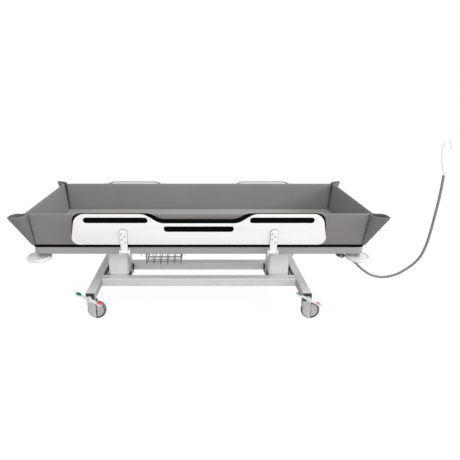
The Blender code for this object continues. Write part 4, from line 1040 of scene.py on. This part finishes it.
COATS = (
    ("silver", ("base_beam", "bed_crossbar", "basket_hanger")),
    ("leg", ("base_leg",)),
    ("foot", ("column_foot",)),
    ("pale", ("column_lower", "column_middle", "column_sleeve")),
    ("rail", ("bed_rail", "bed_end")),
    ("black", ("platform",)),
    ("arm", ("hinge_bracket",)),
    ("coupling", ("drain_outlet",)),
    ("hook", ("hose_hook",)),
)


def dress_nodes():
    for coat, starts in COATS:
        for name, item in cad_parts.items():
            if name.startswith(starts):
                painted(item.data, coat)


# Floor and light

def add_area(name, place, target, size, power):
    data = bpy.data.lights.new(name, "AREA")
    data.shape = "RECTANGLE"
    data.size, data.size_y = size
    data.energy = power
    lamp = add_object(name, data)
    lamp.location = place
    direction = Vector(target) - Vector(place)
    lamp.rotation_euler = direction.to_track_quat("-Z", "Y").to_euler()


def backdrop_rays(tree):
    """1 for the rays that see the white background: camera, transmission and glossy rays."""
    path = tree.nodes.new("ShaderNodeLightPath")
    seen = path.outputs["Is Camera Ray"]
    for kind in ("Is Transmission Ray", "Is Glossy Ray"):
        either = tree.nodes.new("ShaderNodeMath")
        either.operation = "MAXIMUM"
        tree.links.new(seen, either.inputs[0])
        tree.links.new(path.outputs[kind], either.inputs[1])
        seen = either.outputs[0]
    return seen


def make_world():
    """White where it is seen, and a little dimmer as light on the object."""
    world = bpy.data.worlds.new("studio")
    world.use_nodes = True
    tree = world.node_tree
    background = tree.nodes["Background"]
    strength = tree.nodes.new("ShaderNodeMapRange")
    strength.inputs["To Min"].default_value = 0.78
    strength.inputs["To Max"].default_value = 1.0
    tree.links.new(backdrop_rays(tree), strength.inputs["Value"])
    tree.links.new(strength.outputs[0], background.inputs["Strength"])
    background.inputs["Color"].default_value = (1.0, 1.0, 1.0, 1.0)
    bpy.context.scene.world = world


def make_floor():
    """A floor that glows towards the camera and keeps a faint shadow."""
    bm = bmesh.new()
    bmesh.ops.create_grid(bm, x_segments=8, y_segments=8, size=12.0)
    mesh = clean_mesh("studio_floor", bm)
    n = Nodes("studio_floor")
    n.surface(Base_Color=(0.42, 0.42, 0.42, 1.0), Roughness=0.9, Specular_IOR_Level=0.1)
    glow = n.add("ShaderNodeEmission", Strength=1.17)
    glow_share = n.math("MULTIPLY", backdrop_rays(n.tree), 0.8)
    mix = n.add("ShaderNodeMixShader")
    for key, socket in (("0", glow_share), ("1", n.shader.outputs[0]), ("2", glow.outputs[0])):
        n.set(mix, key, socket)
    n.set(n.tree.nodes["Material Output"], "Surface", mix.outputs[0])
    mesh.materials.append(n.material)
    floor = add_object("studio_floor", mesh)


def make_lights():
    add_area("key", (8.5, -2.8, 4.9), (0.0, 0.0, 0.4), (4.0, 3.4), 560.0)
    add_area("fill", (-0.2, -5.4, 2.8), (0.0, 0.0, 0.3), (4.0, 1.8), 148.0)
    add_area("top", (1.8, 0.6, 3.8), (0.0, 0.0, 0.5), (3.0, 2.5), 32.0)
    bpy.context.scene.view_settings.view_transform = "Standard"


make_camera()
make_materials()
make_hose()
make_tub()
make_castors()
make_bumpers()
make_rails()
make_pedals()
make_basket()
make_bolts()
dress_nodes()
make_world()
make_floor()
make_lights()
